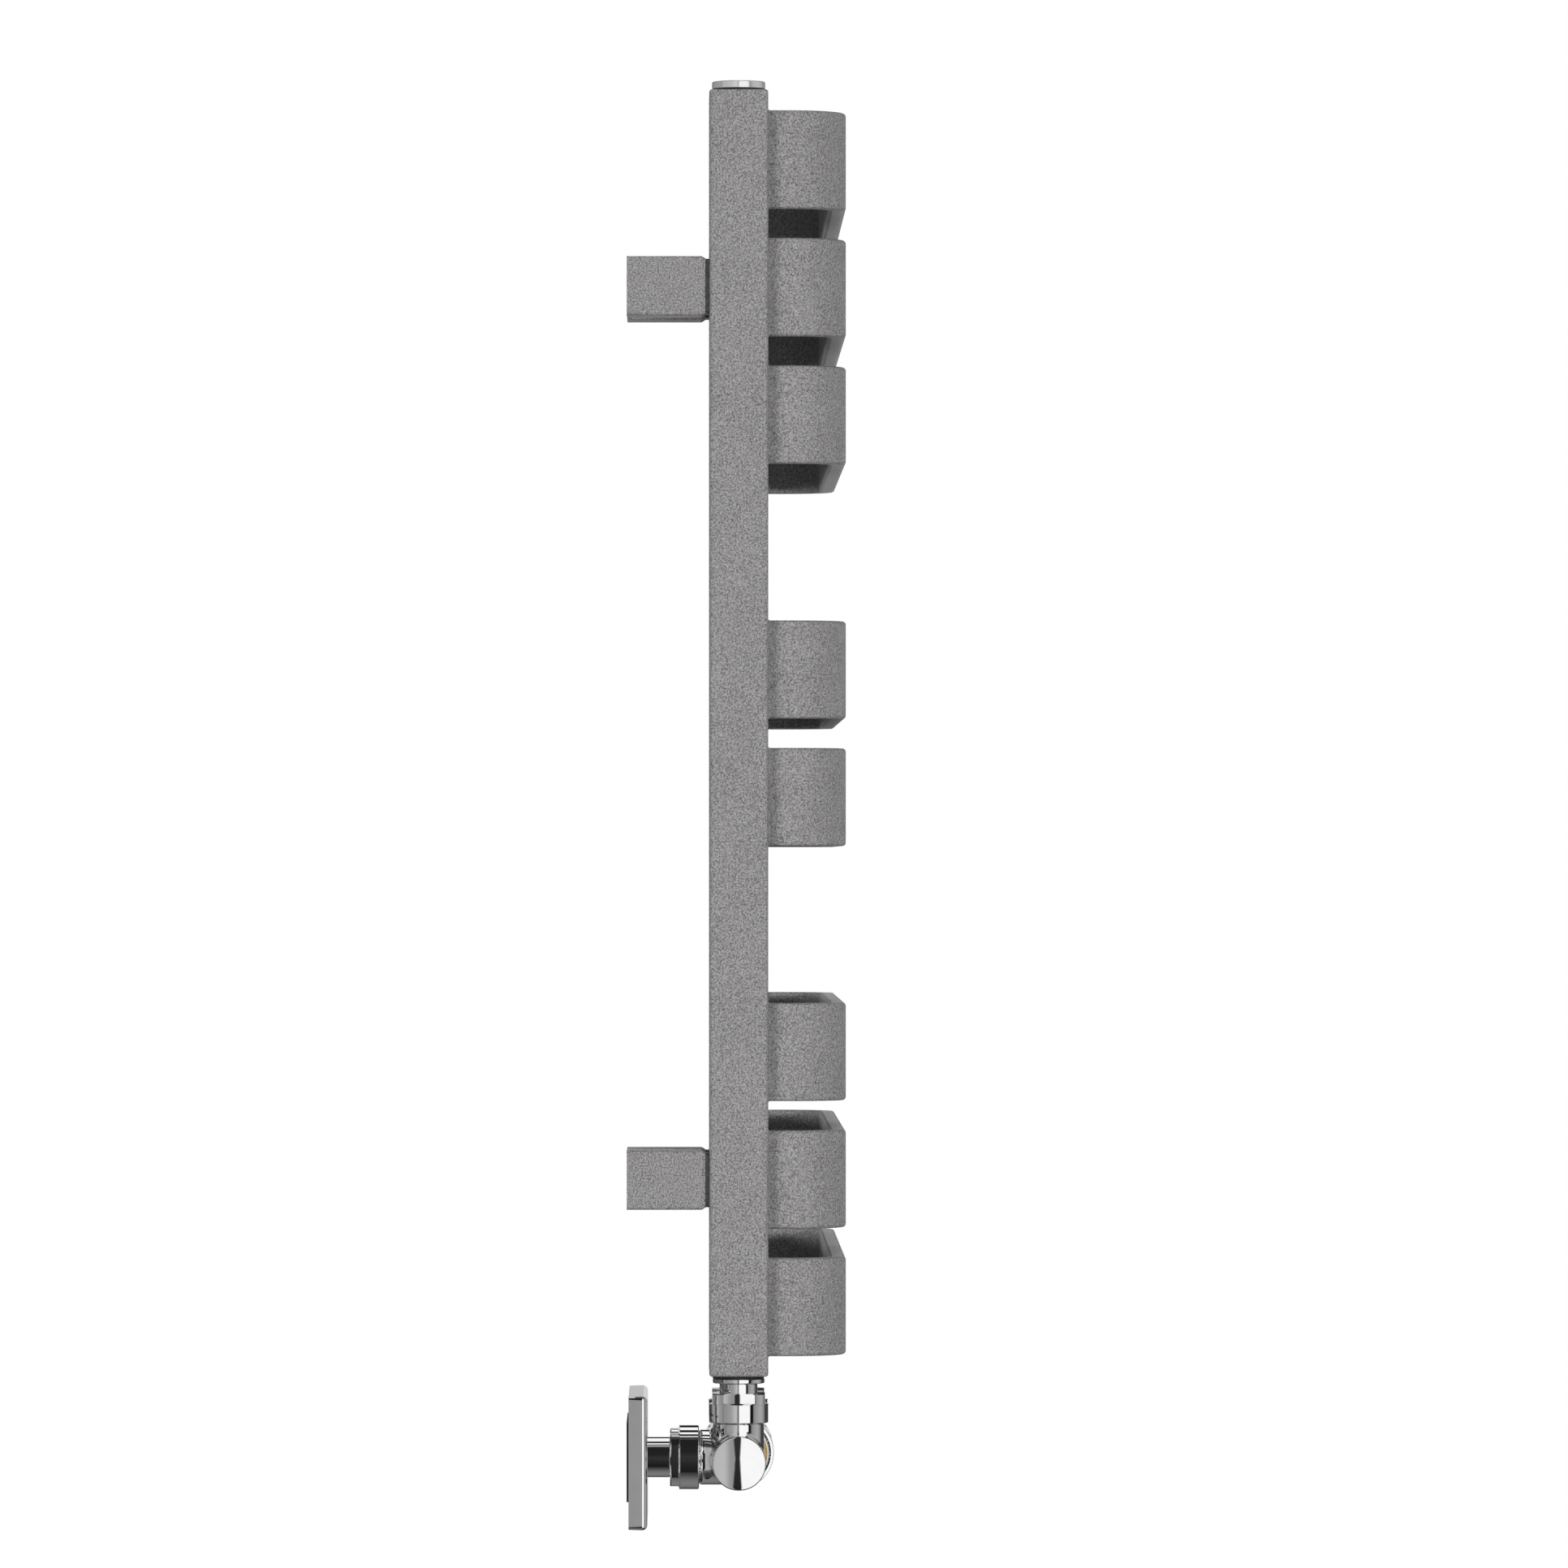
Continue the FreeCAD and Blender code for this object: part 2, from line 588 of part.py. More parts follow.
def bracket_stub(label, at):
    """Makes the square stub that is welded to the collector and slides into the sleeve."""
    body = start_body(label)
    section = start_sketch(body, "XZ_Plane", "bracket_length - stub_engagement")
    rounded(section, "stub_side", "stub_side", "stub_corner")
    rectangle(section, "stub_side - 2*stub_wall", "stub_side - 2*stub_wall")
    pad(body, section, "stub_engagement + bracket_neck")
    grub_holes(body, "grub_hole", "stub_grub_y")
    place(body, at)
    keep(body, label)


def bracket_base(label, at):
    """Makes the cup that is screwed to the wall inside the sleeve."""
    body = start_body(label)
    section = start_sketch(body, "XZ_Plane")
    rounded(section, "stub_side", "stub_side", "stub_corner")
    pad(body, section, "base_depth")
    hollow = start_sketch(body, "XZ_Plane", "base_plate")
    rectangle(hollow, "stub_side - 2*stub_wall", "stub_side - 2*stub_wall")
    pocket(body, hollow, "base_depth", backwards=True)
    screw = start_sketch(body, "XZ_Plane")
    circle(screw, "wall_screw_radius")
    pocket(body, screw, backwards=True)
    grub_holes(body, "grub_hole", "base_grub_y")
    place(body, at)
    keep(body, label)


def grub_screw(at, setback):
    """Makes one grub screw with its hexagon socket facing down."""
    x, _, z = at
    foot = (x, f"-({setback})", f"{z} - (bracket_side/2 - grub_sink)")
    hexagon = DOCUMENT.addObject("Part::Prism", "hexagon")
    hexagon.Polygon = 6
    bind(hexagon, "Circumradius", "grub_hex")
    bind(hexagon, "Height", "grub_hex_depth")
    place(hexagon, foot)
    return cut(rod("grub_radius", "grub_length", foot), [hexagon])


def brackets():
    """Makes the four brackets, two on each collector."""
    screws = []
    corners = [(side, up) for up in (1, -1) for side in (-1, 1)]
    for number, (side, up) in enumerate(corners, start=1):
        at = (f"{side}*collector_x", "0", f"{up}*bracket_z")
        bracket_sleeve(f"bracket_sleeve_{number}", at)
        bracket_stub(f"bracket_stub_{number}", at)
        bracket_base(f"bracket_wall_base_{number}", at)
        screws.append(grub_screw(at, "base_grub_y"))
        screws.append(grub_screw(at, "stub_grub_y"))
    group("bracket_grub_screws", screws)


# ---- unions and pipe connections ----------------------------------------------------------

def collector_foot(side, drop="0"):
    """Gives a point below the middle of a collector's bottom."""
    return (f"{side}*collector_x", "collector_y", f"-(collector_height/2 + {drop})")


def wall_point(side, out="0"):
    """Gives a point on a pipe's axis, a distance out from the wall."""
    return (f"{side}*collector_x", f"-({out})", "valve_z")


def union_tail(label, side):
    """Makes the tail that screws into the collector and carries the union nut."""
    body = turned(label, [
        ("tail_bore", "-socket_depth"), ("shank_radius", "-socket_depth"),
        ("shank_radius", "tail_seal"), ("tail_flange_radius", "tail_seal"),
        ("tail_flange_radius", "tail_seal + tail_flange"),
        ("tail_neck_radius", "tail_seal + tail_flange"), ("tail_neck_radius", "collar_top"),
        ("tail_collar_radius", "collar_top"), ("tail_collar_radius", "collar_bottom"),
        ("tail_bore", "collar_bottom"),
    ], collector_foot(side), "-Z")
    keep(body, label)


def coupling_nut(label, at, along, bore, lip, flat_length, skirt):
    """Makes a nut with four flats and a round skirt."""
    total = f"{flat_length} + {skirt}"
    body = turned(label, [
        (bore, "0"), ("nut_corner - nut_chamfer", "0"), ("nut_corner", "nut_chamfer"),
        ("nut_corner", flat_length), ("nut_skirt_radius", flat_length),
        ("nut_skirt_radius", total), ("nut_thread", total), ("nut_thread", lip), (bore, lip),
    ], ("0", "0", "0"))
    flats = start_sketch(body, "XY_Plane")
    rectangle(flats, "3*nut_corner", "3*nut_corner")
    rectangle(flats, "nut_flats", "nut_flats")
    pocket(body, flats, flat_length, backwards=True)
    place(body, at, along)
    keep(body, label)


def olive(side):
    """Makes the soft ring that grips the pipe."""
    outer = "pipe_bore + olive_wall"
    return turned("olive", [
        ("pipe_bore", "0"), (f"{outer} - olive_taper", "0"), (outer, "olive_taper"),
        (outer, "olive_length - olive_taper"), (f"{outer} - olive_taper", "olive_length"),
        ("pipe_bore", "olive_length"),
    ], wall_point(side, "olive_start"), "-Y")


def connections():
    """Makes all that joins the valve to the collectors and to the pipes."""
    seals, washers, olives = [], [], []
    for name, side in (("return", -1), ("flow", 1)):
        union_tail(f"{name}_union_tail", side)
        seals.append(washer("tail_seal", "shank_radius", "tail_seal_radius", "tail_seal",
                            collector_foot(side), "-Z"))
        coupling_nut(f"{name}_union_nut", collector_foot(side, "nut_top"), "-Z",
                     "tail_neck_radius + neck_gap", "nut_lip", "nut_flat_length", "nut_skirt")
        washers.append(washer("union_washer", "tail_bore", "tail_collar_radius",
                              "union_washer", collector_foot(side, "collar_bottom"), "-Z"))
        coupling_nut(f"{name}_pipe_nut", wall_point(side, "sleeve_length"), "-Y",
                     "pipe_bore", "pipe_nut_lip", "pipe_nut_flat_length", "pipe_nut_skirt")
        olives.append(olive(side))
        sleeve = washer(f"{name}_pipe_sleeve", "pipe_bore", "sleeve_radius", "sleeve_length",
                        wall_point(side), "-Y")
        keep(sleeve, f"{name}_pipe_sleeve")
    group("tail_seals", seals)
    group("union_washers", washers)
    group("pipe_olives", olives)


# ---- valve body ---------------------------------------------------------------------------

def valve_outside():
    """Makes the barrel, its four branches and the web between the wall branches."""
    things = [rod("barrel_radius", "2*barrel_half", ("-barrel_half", "collector_y", "valve_z"),
                  "+X")]
    for side in (-1, 1):
        things.append(rod("spigot_radius", "valve_drop - spigot_top",
                          collector_foot(side, "spigot_top"), "-Z"))
        things.append(rod("upper_branch_radius", "branch_length - branch_gap",
                          collector_foot(side, "nut_bottom + branch_gap"), "-Z"))
        things.append(rod("spigot_radius", "-collector_y - pipe_spigot",
                          wall_point(side, "pipe_spigot"), "-Y"))
        things.append(rod("wall_branch_radius", "-collector_y - pipe_nut_end - branch_gap",
                          wall_point(side, "pipe_nut_end + branch_gap"), "-Y"))
    things.append(block("2*collector_x", "-collector_y - bridge_back", "bridge_height",
                        ("-collector_x", "collector_y", "valve_z - bridge_height/2")))
    return join(things)


def valve_waterways(side):
    """Makes the bores of one half: pipe, link, rear chamber, seat, chamber and outlet."""
    inward = "-X" if side > 0 else "+X"

    def on_barrel(x):
        return (f"{side}*({x})", "collector_y", "valve_z")

    middle = "rear_x + rear_chamber/2"
    return [
        rod("insert_radius", "insert_depth + 1", on_barrel("barrel_half + 1"), inward),
        rod("chamber_radius", "seat_setback - insert_depth + 1",
            on_barrel("seat_x + seat_setback - insert_depth + 1"), inward),
        rod("seat_radius", "seat_wall + 2", on_barrel("seat_x + 1"), inward),
        rod("rear_chamber_radius", "rear_chamber", on_barrel("rear_x + rear_chamber"), inward),
        rod("waterway", "valve_drop - spigot_top + 1",
            collector_foot(side, "spigot_top - 1"), "-Z"),
        rod("pipe_bore", "pipe_stop - pipe_spigot + 1", wall_point(side, "pipe_spigot - 1"),
            "-Y"),
        rod("tail_bore", "inlet_end - pipe_stop + 1", wall_point(side, "pipe_stop - 1"), "-Y"),
        rod("link_radius", f"collector_x - ({middle})", wall_point(side, "link_offset"), inward),
        rod("link_radius", "-collector_y - link_offset",
            (f"{side}*({middle})", "-link_offset", "valve_z"), "-Y"),
    ]


def valve_body():
    """Makes the one-piece twin body with two separate waterways."""
    waterways = valve_waterways(-1) + valve_waterways(1)
    keep(cut(valve_outside(), waterways), "valve_body")


# ---- thermostatic insert and head ---------------------------------------------------------

HEAD_END = ("barrel_half", "collector_y", "valve_z")
LOCK_END = ("-barrel_half", "collector_y", "valve_z")


def ring_groove(bore, start):
    """Gives the corners of a seal groove in a bore, from its far side to its near side."""
    return [(bore, f"{start} + ring_width"), (f"{bore} + ring_depth", f"{start} + ring_width"),
            (f"{bore} + ring_depth", start), (bore, start)]


def insert_housing():
    """Makes the brass insert that guides the pin and carries the head's thread."""
    floor = "guide_wall - insert_depth"
    groove = "-insert_depth + (guide_wall - ring_width)/2"
    body = turned("insert_housing", [
        ("pin_bore", "-insert_depth"), ("insert_radius - thread_gap", "-insert_depth"),
        ("insert_radius - thread_gap", "0"), ("insert_thread_radius", "0"),
        ("insert_thread_radius", "insert_shoulder"), ("cavity_radius", "insert_shoulder"),
        ("cavity_radius", floor), ("pin_bore", floor),
    ] + ring_groove("pin_bore", groove), HEAD_END, "+X")
    keep(body, "insert_housing")


def valve_pin():
    """Makes the pin with its spring collar."""
    inner_end = "plug_face + pin_seat"
    collar = "cavity_radius - pin_gap"
    body = turned("valve_pin", [
        ("0", inner_end), ("pin_radius", inner_end), ("pin_radius", "pin_collar_out"),
        (collar, "pin_collar_out"), (collar, "pin_collar_out + pin_collar"),
        ("pin_radius", "pin_collar_out + pin_collar"), ("pin_radius", "pin_out"),
        ("0", "pin_out"),
    ], HEAD_END, "+X")
    keep(body, "valve_pin")


def valve_plug():
    """Makes the soft plug that closes the seat."""
    top = "plug_face + plug_thickness"
    hole = "pin_radius + thread_gap"
    body = turned("valve_plug", [
        ("0", "plug_face"), ("valve_plug_radius", "plug_face"), ("valve_plug_radius", top),
        (hole, top), (hole, "plug_face + pin_seat"), ("0", "plug_face + pin_seat"),
    ], HEAD_END, "+X")
    keep(body, "valve_plug")


def return_spring():
    """Makes the spring that opens the valve."""
    start = "guide_wall - insert_depth + spring_end_gap + spring_wire"
    length = f"pin_collar_out - spring_end_gap - spring_wire - ({start})"
    coil = DOCUMENT.addObject("Part::Helix", "coil")
    bind(coil, "Radius", "spring_radius")
    bind(coil, "Height", length)
    bind(coil, "Pitch", f"({length})/spring_turns")
    wire = DOCUMENT.addObject("Part::Circle", "wire")
    bind(wire, "Radius", "spring_wire")
    wire.Placement = FreeCAD.Placement(FreeCAD.Vector(), FreeCAD.Rotation(ALONG["+X"], 90))
    bind(wire, "Placement.Base.x", "spring_radius")
    DOCUMENT.recompute()
    spring = DOCUMENT.addObject("Part::Sweep", "return_spring")
    spring.Sections = [wire]
    spring.Spine = (coil, [f"Edge{i}" for i in range(1, len(coil.Shape.Edges) + 1)])
    spring.Solid = True
    spring.Frenet = True
    place(spring, (f"barrel_half + {start}", "collector_y", "valve_z"), "+X")
    keep(spring, "return_spring")


def head_collar_nut():
    """Makes the nut that holds the head on the insert."""
    thread = "insert_thread_radius + thread_gap"
    body = turned("head_collar_nut", [
        (thread, "head_nut_start"), ("head_nut_radius", "head_nut_start"),
        ("head_nut_radius", "head_nut_end"), ("head_nut_lip_bore", "head_nut_end"),
        ("head_nut_lip_bore", "base_seat"), (thread, "base_seat"),
    ], HEAD_END, "+X")
    keep(body, "head_collar_nut")


def head_base():
    """Makes the head's fixed base, which guides the sensor and the handle."""
    capsule_bore = "capsule_radius + capsule_gap"
    body = turned("head_base", [
        ("base_bore", "insert_shoulder"), ("insert_thread_radius", "insert_shoulder"),
        ("insert_thread_radius", "base_seat"), ("base_radius", "base_seat"),
        ("base_radius", "base_seat + base_step"), ("base_step_radius", "base_seat + base_step"),
        ("base_step_radius", "base_end"), (capsule_bore, "base_end"),
        (capsule_bore, "base_seat + base_floor"), ("base_bore", "base_seat + base_floor"),
    ], HEAD_END, "+X")
    keep(body, "head_base")


def sensor_capsule():
    """Makes the sensor that pushes the pin."""
    shoulder = "pin_out + capsule_foot"
    back = f"{shoulder} + capsule_length"
    body = turned("sensor_capsule", [
        ("0", "pin_out"), ("pin_radius*2", "pin_out"), ("pin_radius*2", shoulder),
        ("capsule_radius", shoulder), ("capsule_radius", back), ("spindle_radius", back),
        ("spindle_radius", f"{back} + capsule_stem"), ("0", f"{back} + capsule_stem"),
    ], HEAD_END, "+X")
    keep(body, "sensor_capsule")


def head_handle():
    """Makes the turning handle with its hub, web and seat for the end cap."""
    hub_bore = "base_step_radius + capsule_gap"
    web_back = "web_face + handle_web"
    ledge = "handle_end - end_cap"
    body = turned("head_handle", [
        ("0", web_back), ("0", "web_face"), (hub_bore, "web_face"), (hub_bore, "hub_start"),
        (f"{hub_bore} + hub_wall", "hub_start"), (f"{hub_bore} + hub_wall", "web_face"),
        ("handle_bore", "web_face"), ("handle_bore", "handle_start"),
        ("handle_radius", "handle_start"), ("handle_radius", "handle_end - handle_round"),
        ("handle_radius - handle_round", "handle_end"), ("handle_bore", "handle_end"),
        ("handle_bore", ledge), ("handle_bore - end_cap_ledge", ledge),
        ("handle_bore - end_cap_ledge", web_back),
    ], HEAD_END, "+X")
    keep(body, "head_handle")
    ledge_gap = "handle_bore - thread_gap"
    cap = washer("head_end_cap", "0", ledge_gap, "end_cap",
                 (f"barrel_half + {ledge}", "collector_y", "valve_z"), "+X")
    keep(cap, "head_end_cap")


# ---- lockshield side ----------------------------------------------------------------------

def lockshield_gland():
    """Makes the gland that holds the spindle in the body and carries the cap."""
    recess = "gland_recess - insert_depth"
    recess_radius = "spindle_collar_radius + spindle_gap"
    end = "gland_collar + gland_neck"
    body = turned("lockshield_gland", [
        ("spindle_bore", recess), (recess_radius, recess), (recess_radius, "-insert_depth"),
        ("insert_radius - thread_gap", "-insert_depth"), ("insert_radius - thread_gap", "0"),
        ("gland_collar_radius", "0"), ("gland_collar_radius", "gland_collar"),
        ("gland_neck_radius", "gland_collar"), ("gland_neck_radius", end),
        ("spindle_bore", end),
    ] + ring_groove("spindle_bore", "(gland_collar - ring_width)/2"), LOCK_END, "-X")
    keep(body, "lockshield_gland")


def lockshield_spindle():
    """Makes the spindle, held by its collar, with a square drive and an inner screw."""
    collar_top = "gland_recess - insert_depth - (gland_recess - spindle_collar)/2"
    collar_foot = f"{collar_top} - spindle_collar"
    body = turned("lockshield_spindle", [
        ("0", "-lock_screw_end"), ("lock_screw_radius", "-lock_screw_end"),
        ("lock_screw_radius", collar_foot), ("spindle_collar_radius", collar_foot),
        ("spindle_collar_radius", collar_top), ("spindle_radius", collar_top),
        ("spindle_radius", "spindle_end"), ("0", "spindle_end"),
    ], ("0", "0", "0"))
    drive = start_sketch(body, "XY_Plane", "spindle_end")
    regular(drive, 4, "drive_radius")
    pad(body, drive, "spindle_drive")
    place(body, LOCK_END, "-X")
    keep(body, "lockshield_spindle")


def lockshield_plug():
    """Makes the plug that the spindle's screw moves towards its seat."""
    face = "-lock_plug_face"
    back = f"{face} + lock_plug_length"
    hole = "lock_screw_radius + spindle_gap"
    body = turned("lockshield_plug", [
        ("0", face), ("valve_plug_radius", face), ("valve_plug_radius", back), (hole, back),
        (hole, f"{back} - lock_plug_hole"), ("0", f"{back} - lock_plug_hole"),
    ], LOCK_END, "-X")
    keep(body, "lockshield_plug")


def seal_ring(bore, at, along):
    """Makes a round-section ring that fills its groove but for a small gap."""
    ring = DOCUMENT.addObject("Part::Torus", "seal_ring")
    bind(ring, "Radius1", f"{bore} + ring_depth/2")
    bind(ring, "Radius2", "ring_depth/2 - thread_gap")
    return place(ring, at, along)


def seal_rings():
    """Makes the rings that seal the spindle and the pin."""
    x = "barrel_half + gland_collar/2"
    spindle = seal_ring("spindle_bore", (f"-({x})", "collector_y", "valve_z"), "-X")
    x = "barrel_half - insert_depth + guide_wall/2"
    pin = seal_ring("pin_bore", (x, "collector_y", "valve_z"), "+X")
    group("spindle_seal_rings", [spindle, pin])


def lockshield_cap():
    """Makes the plain cap that is pushed over the gland."""
    body = turned("lockshield_cap", [
        ("cap_bore", "cap_start"), ("cap_radius", "cap_start"),
        ("cap_radius", "cap_end - cap_chamfer"), ("cap_radius - cap_chamfer", "cap_end"),
        ("0", "cap_end"), ("0", "cap_end - cap_end_wall"), ("cap_bore", "cap_end - cap_end_wall"),
    ], LOCK_END, "-X")
    keep(body, "lockshield_cap")


# ---- cover plate --------------------------------------------------------------------------

def cover_plate():
    """Makes the hollow plate that slides on both pipe sleeves."""
    body = start_body("cover_plate")
    face = start_sketch(body, "XZ_Plane")
    rounded(face, "plate_width", "plate_height", "plate_corner")
    pad(body, face, "plate_depth")
    front = size("-plate_depth")
    soften(body, "plate_round", lambda edge: lies_at(edge, "Y", front))
    hollow = start_sketch(body, "XZ_Plane")
    rectangle(hollow, "plate_width - 2*plate_wall", "plate_height - 2*plate_wall")
    pocket(body, hollow, "plate_depth - plate_wall", backwards=True)
    bosses = start_sketch(body, "XZ_Plane")
    holes = start_sketch(body, "XZ_Plane")
    for side in (-1, 1):
        circle(bosses, "plate_hole + boss_wall", x=f"{side}*collector_x")
        circle(holes, "plate_hole", x=f"{side}*collector_x")
    pad(body, bosses, "plate_depth - plate_wall")
    pocket(body, holes, backwards=True)
    place(body, ("0", "-plate_gasket", "valve_z"))
    keep(body, "cover_plate")


def plate_gasket():
    """Makes the soft pad between the cover plate and the wall."""
    body = start_body("plate_gasket")
    sheet = start_sketch(body, "XZ_Plane")
    rectangle(sheet, "gasket_width", "gasket_height")
    for side in (-1, 1):
        circle(sheet, "plate_hole + gasket_hole_gap", x=f"{side}*collector_x")
    pad(body, sheet, "plate_gasket")
    place(body, ("0", "0", "valve_z"))
    keep(body, "plate_gasket")


# ---- the whole model ----------------------------------------------------------------------

def radiator():
    """Makes the collectors, bands, plugs and brackets."""
    collector("return_collector", -1, "XZ_Plane")
    collector("flow_collector", 1, "YZ_Plane")
    for name, side in (("return", -1), ("flow", 1)):
        collector_end(f"{name}_top_end", side, 1)
        collector_end(f"{name}_bottom_end", side, -1)
    for number, slot in enumerate(SLOTS, start=1):
        heating_band(number, slot)
    vent_plug()
    bleed_screw()
    blanking_plug()
    group("plug_seals", [
        washer("plug_seal", "shank_radius", "tail_seal_radius", "plug_seal", collector_top(side))
        for side in (-1, 1)])
    brackets()


def valve():
    """Makes the twin valve, its head, its lockshield and the cover plate."""
    connections()
    valve_body()
    insert_housing()
    valve_pin()
    valve_plug()
    return_spring()
    head_collar_nut()
    head_base()
    sensor_capsule()
    head_handle()
    lockshield_gland()
    lockshield_spindle()
    lockshield_plug()
    seal_rings()
    lockshield_cap()
    cover_plate()
    plate_gasket()


def check_and_write():
    """Stops at a failed object or a bad shape, then writes each sub-part to its own file."""
    for thing in DOCUMENT.Objects:
        if "Invalid" in thing.State or "Error" in thing.State:
            raise RuntimeError(f"{thing.Label}: {thing.State}")
    for thing in SUBPARTS:
        if thing.Shape.isNull() or not thing.Shape.isValid():
            raise RuntimeError(f"{thing.Label} has a bad shape")
    os.makedirs("parts", exist_ok=True)
    for thing in SUBPARTS:
        thing.Shape.exportStep(f"parts/{thing.Label}.step")
        print(thing.Label, len(thing.Shape.Solids), round(thing.Shape.Volume))
    print(len(SUBPARTS), "nodes")


DOCUMENT = FreeCAD.newDocument("TowelRadiator")
SHEET = make_sheet(DOCUMENT)
radiator()
valve()
DOCUMENT.recompute()
check_and_write()
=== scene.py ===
import json
import logging
import math
from collections.abc import Callable, Iterable, Sequence
from dataclasses import dataclass
from enum import Enum
from typing import ClassVar

import bmesh
import bpy
import numpy as np
from mathutils import Matrix, Vector


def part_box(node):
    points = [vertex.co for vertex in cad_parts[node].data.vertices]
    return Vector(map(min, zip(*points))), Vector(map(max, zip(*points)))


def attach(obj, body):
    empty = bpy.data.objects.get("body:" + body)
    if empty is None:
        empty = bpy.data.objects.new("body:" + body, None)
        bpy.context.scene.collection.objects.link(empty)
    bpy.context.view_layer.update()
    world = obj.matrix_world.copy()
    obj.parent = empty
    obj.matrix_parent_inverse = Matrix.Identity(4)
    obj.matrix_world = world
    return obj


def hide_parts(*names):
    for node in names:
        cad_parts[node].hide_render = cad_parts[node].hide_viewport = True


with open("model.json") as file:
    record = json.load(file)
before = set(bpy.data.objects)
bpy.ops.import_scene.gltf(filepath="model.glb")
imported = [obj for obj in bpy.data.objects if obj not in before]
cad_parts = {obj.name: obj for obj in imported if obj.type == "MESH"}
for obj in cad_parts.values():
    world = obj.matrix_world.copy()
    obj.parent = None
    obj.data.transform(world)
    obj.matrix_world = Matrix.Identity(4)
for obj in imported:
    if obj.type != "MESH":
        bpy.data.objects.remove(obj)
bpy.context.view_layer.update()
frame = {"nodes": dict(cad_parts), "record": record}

MM = 0.001
TOUCHING = 1e-7
TINY = 1e-12
SAME_TURN = 1e-4
ARC_STEP = math.radians(15)
ARC_ROOM = 0.97
NOISE_LOW, NOISE_HIGH = 0.3, 0.7
FINE = 120
SEAL_RADIUS = 12.9 * MM
LOG = logging.getLogger("towel_radiator")


# ---- outlines and rings -------------------------------------------------------------------

@dataclass(frozen=True)
class Stations:
    """The stations round a skin at which every one of its rings has a point.

    Args:
        turns: polar angle of each station.
        facing: direction in which a rounded box's edge faces there.
        quarters: signs of the box corner that each station belongs to.
    """

    turns: np.ndarray
    facing: np.ndarray
    quarters: np.ndarray


@dataclass(frozen=True)
class Circle:
    """A round outline, whose growth is its radius."""

    def radius(self, turns: np.ndarray, grown: float) -> np.ndarray:
        """Gives the outline's radius at some polar angles."""
        return np.full(len(turns), grown)

    def ring(self, stations: Stations, grown: float) -> np.ndarray:
        """Gives the outline's points at the stations, two coordinates a row."""
        out = np.stack([np.cos(stations.turns), np.sin(stations.turns)], axis=1)
        return self.radius(stations.turns, grown)[:, None] * out


@dataclass(frozen=True)
class Facets(Circle):
    """A round outline cut by equal flats, whose growth is the radius of its corners."""

    sides: int
    apothem: float
    turn: float = 0.0
    crown: float = 0.0

    def radius(self, turns: np.ndarray, grown: float) -> np.ndarray:
        """Gives the outline's radius.

        Args:
            turns: the polar angles.
            grown: radius of the round that the flats cut.

        Returns:
            The radius at each angle.
        """
        step = 2 * math.pi / self.sides
        away = (turns - self.turn + step / 2) % step - step / 2
        half = min(math.sqrt(max(grown ** 2 - self.apothem ** 2, TINY)),
                   self.apothem * math.tan(step / 2))
        across = self.apothem * np.tan(away)
        flat = (self.apothem - self.crown * (across / half) ** 2) / np.cos(away)
        return np.minimum(grown, flat)

    def corner_turns(self, grown: float) -> list[float]:
        """Gives where the flats meet the round.

        Args:
            grown: radius of the round.

        Returns:
            Two polar angles for each flat.
        """
        step = 2 * math.pi / self.sides
        away = min(math.acos(min(self.apothem / grown, 1.0)), step / 2)
        return [self.turn + k * step + sign * away for k in range(self.sides) for sign in (-1, 1)]


@dataclass(frozen=True)
class Flutes(Circle):
    """A round outline with equal shallow hollows, whose growth is its radius."""

    count: int
    depth: float
    share: float

    def radius(self, turns: np.ndarray, grown: float) -> np.ndarray:
        """Gives the outline's radius.

        Args:
            turns: the polar angles.
            grown: radius between the hollows.

        Returns:
            The radius at each angle.
        """
        step = 2 * math.pi / self.count
        away = np.abs((turns + step / 2) % step - step / 2) / (step / 2 * self.share)
        hollow = np.where(away < 1, np.cos(np.minimum(away, 1) * math.pi / 2) ** 2, 0)
        return grown - self.depth * hollow


@dataclass(frozen=True)
class RoundedBox:
    """A rectangle with round corners, which grows outwards by the same amount all round."""

    width: float
    height: float
    corner: float

    def ring(self, stations: Stations, grown: float) -> np.ndarray:
        """Gives the outline's points.

        Args:
            stations: where the points lie.
            grown: how far the outline has grown outwards.

        Returns:
            One row of two coordinates for each station.
        """
        bend = max(self.corner + grown, 0)
        middle = np.array([self.width / 2 + grown - bend, self.height / 2 + grown - bend])
        out = np.stack([np.cos(stations.facing), np.sin(stations.facing)], axis=1)
        return stations.quarters * middle + bend * out

    def stations(self, steps: int = 7) -> Stations:
        """Gives stations that suit this box.

        Args:
            steps: into how many equal steps each corner is cut.

        Returns:
            The stations in order.
        """
        facing, quarters = [], []
        for number, signs in enumerate(((1, 1), (-1, 1), (-1, -1), (1, -1))):
            for step in range(steps + 1):
                facing.append((number + step / steps) * math.pi / 2)
                quarters.append(signs)
        first = Stations(np.zeros(len(facing)), np.array(facing), np.array(quarters))
        points = self.ring(first, 0)
        turns = np.arctan2(points[:, 1], points[:, 0])
        return Stations(turns, first.facing, first.quarters)


Outline = Circle | RoundedBox
ROUND = Circle()


def round_stations(count: int = 96, extra: Iterable[float] = ()) -> Stations:
    """Gives evenly spaced stations round an axis.

    Args:
        count: how many even stations there are.
        extra: more polar angles, such as those of a nut's corners.

    Returns:
        The stations in order, without doubles.
    """
    turns = np.concatenate([np.arange(count) * 2 * math.pi / count, np.array(list(extra))])
    turns = np.sort(turns % (2 * math.pi))
    kept = turns[np.append(np.diff(turns) > SAME_TURN, True)]
    return Stations(kept, kept, np.ones((len(kept), 2)))


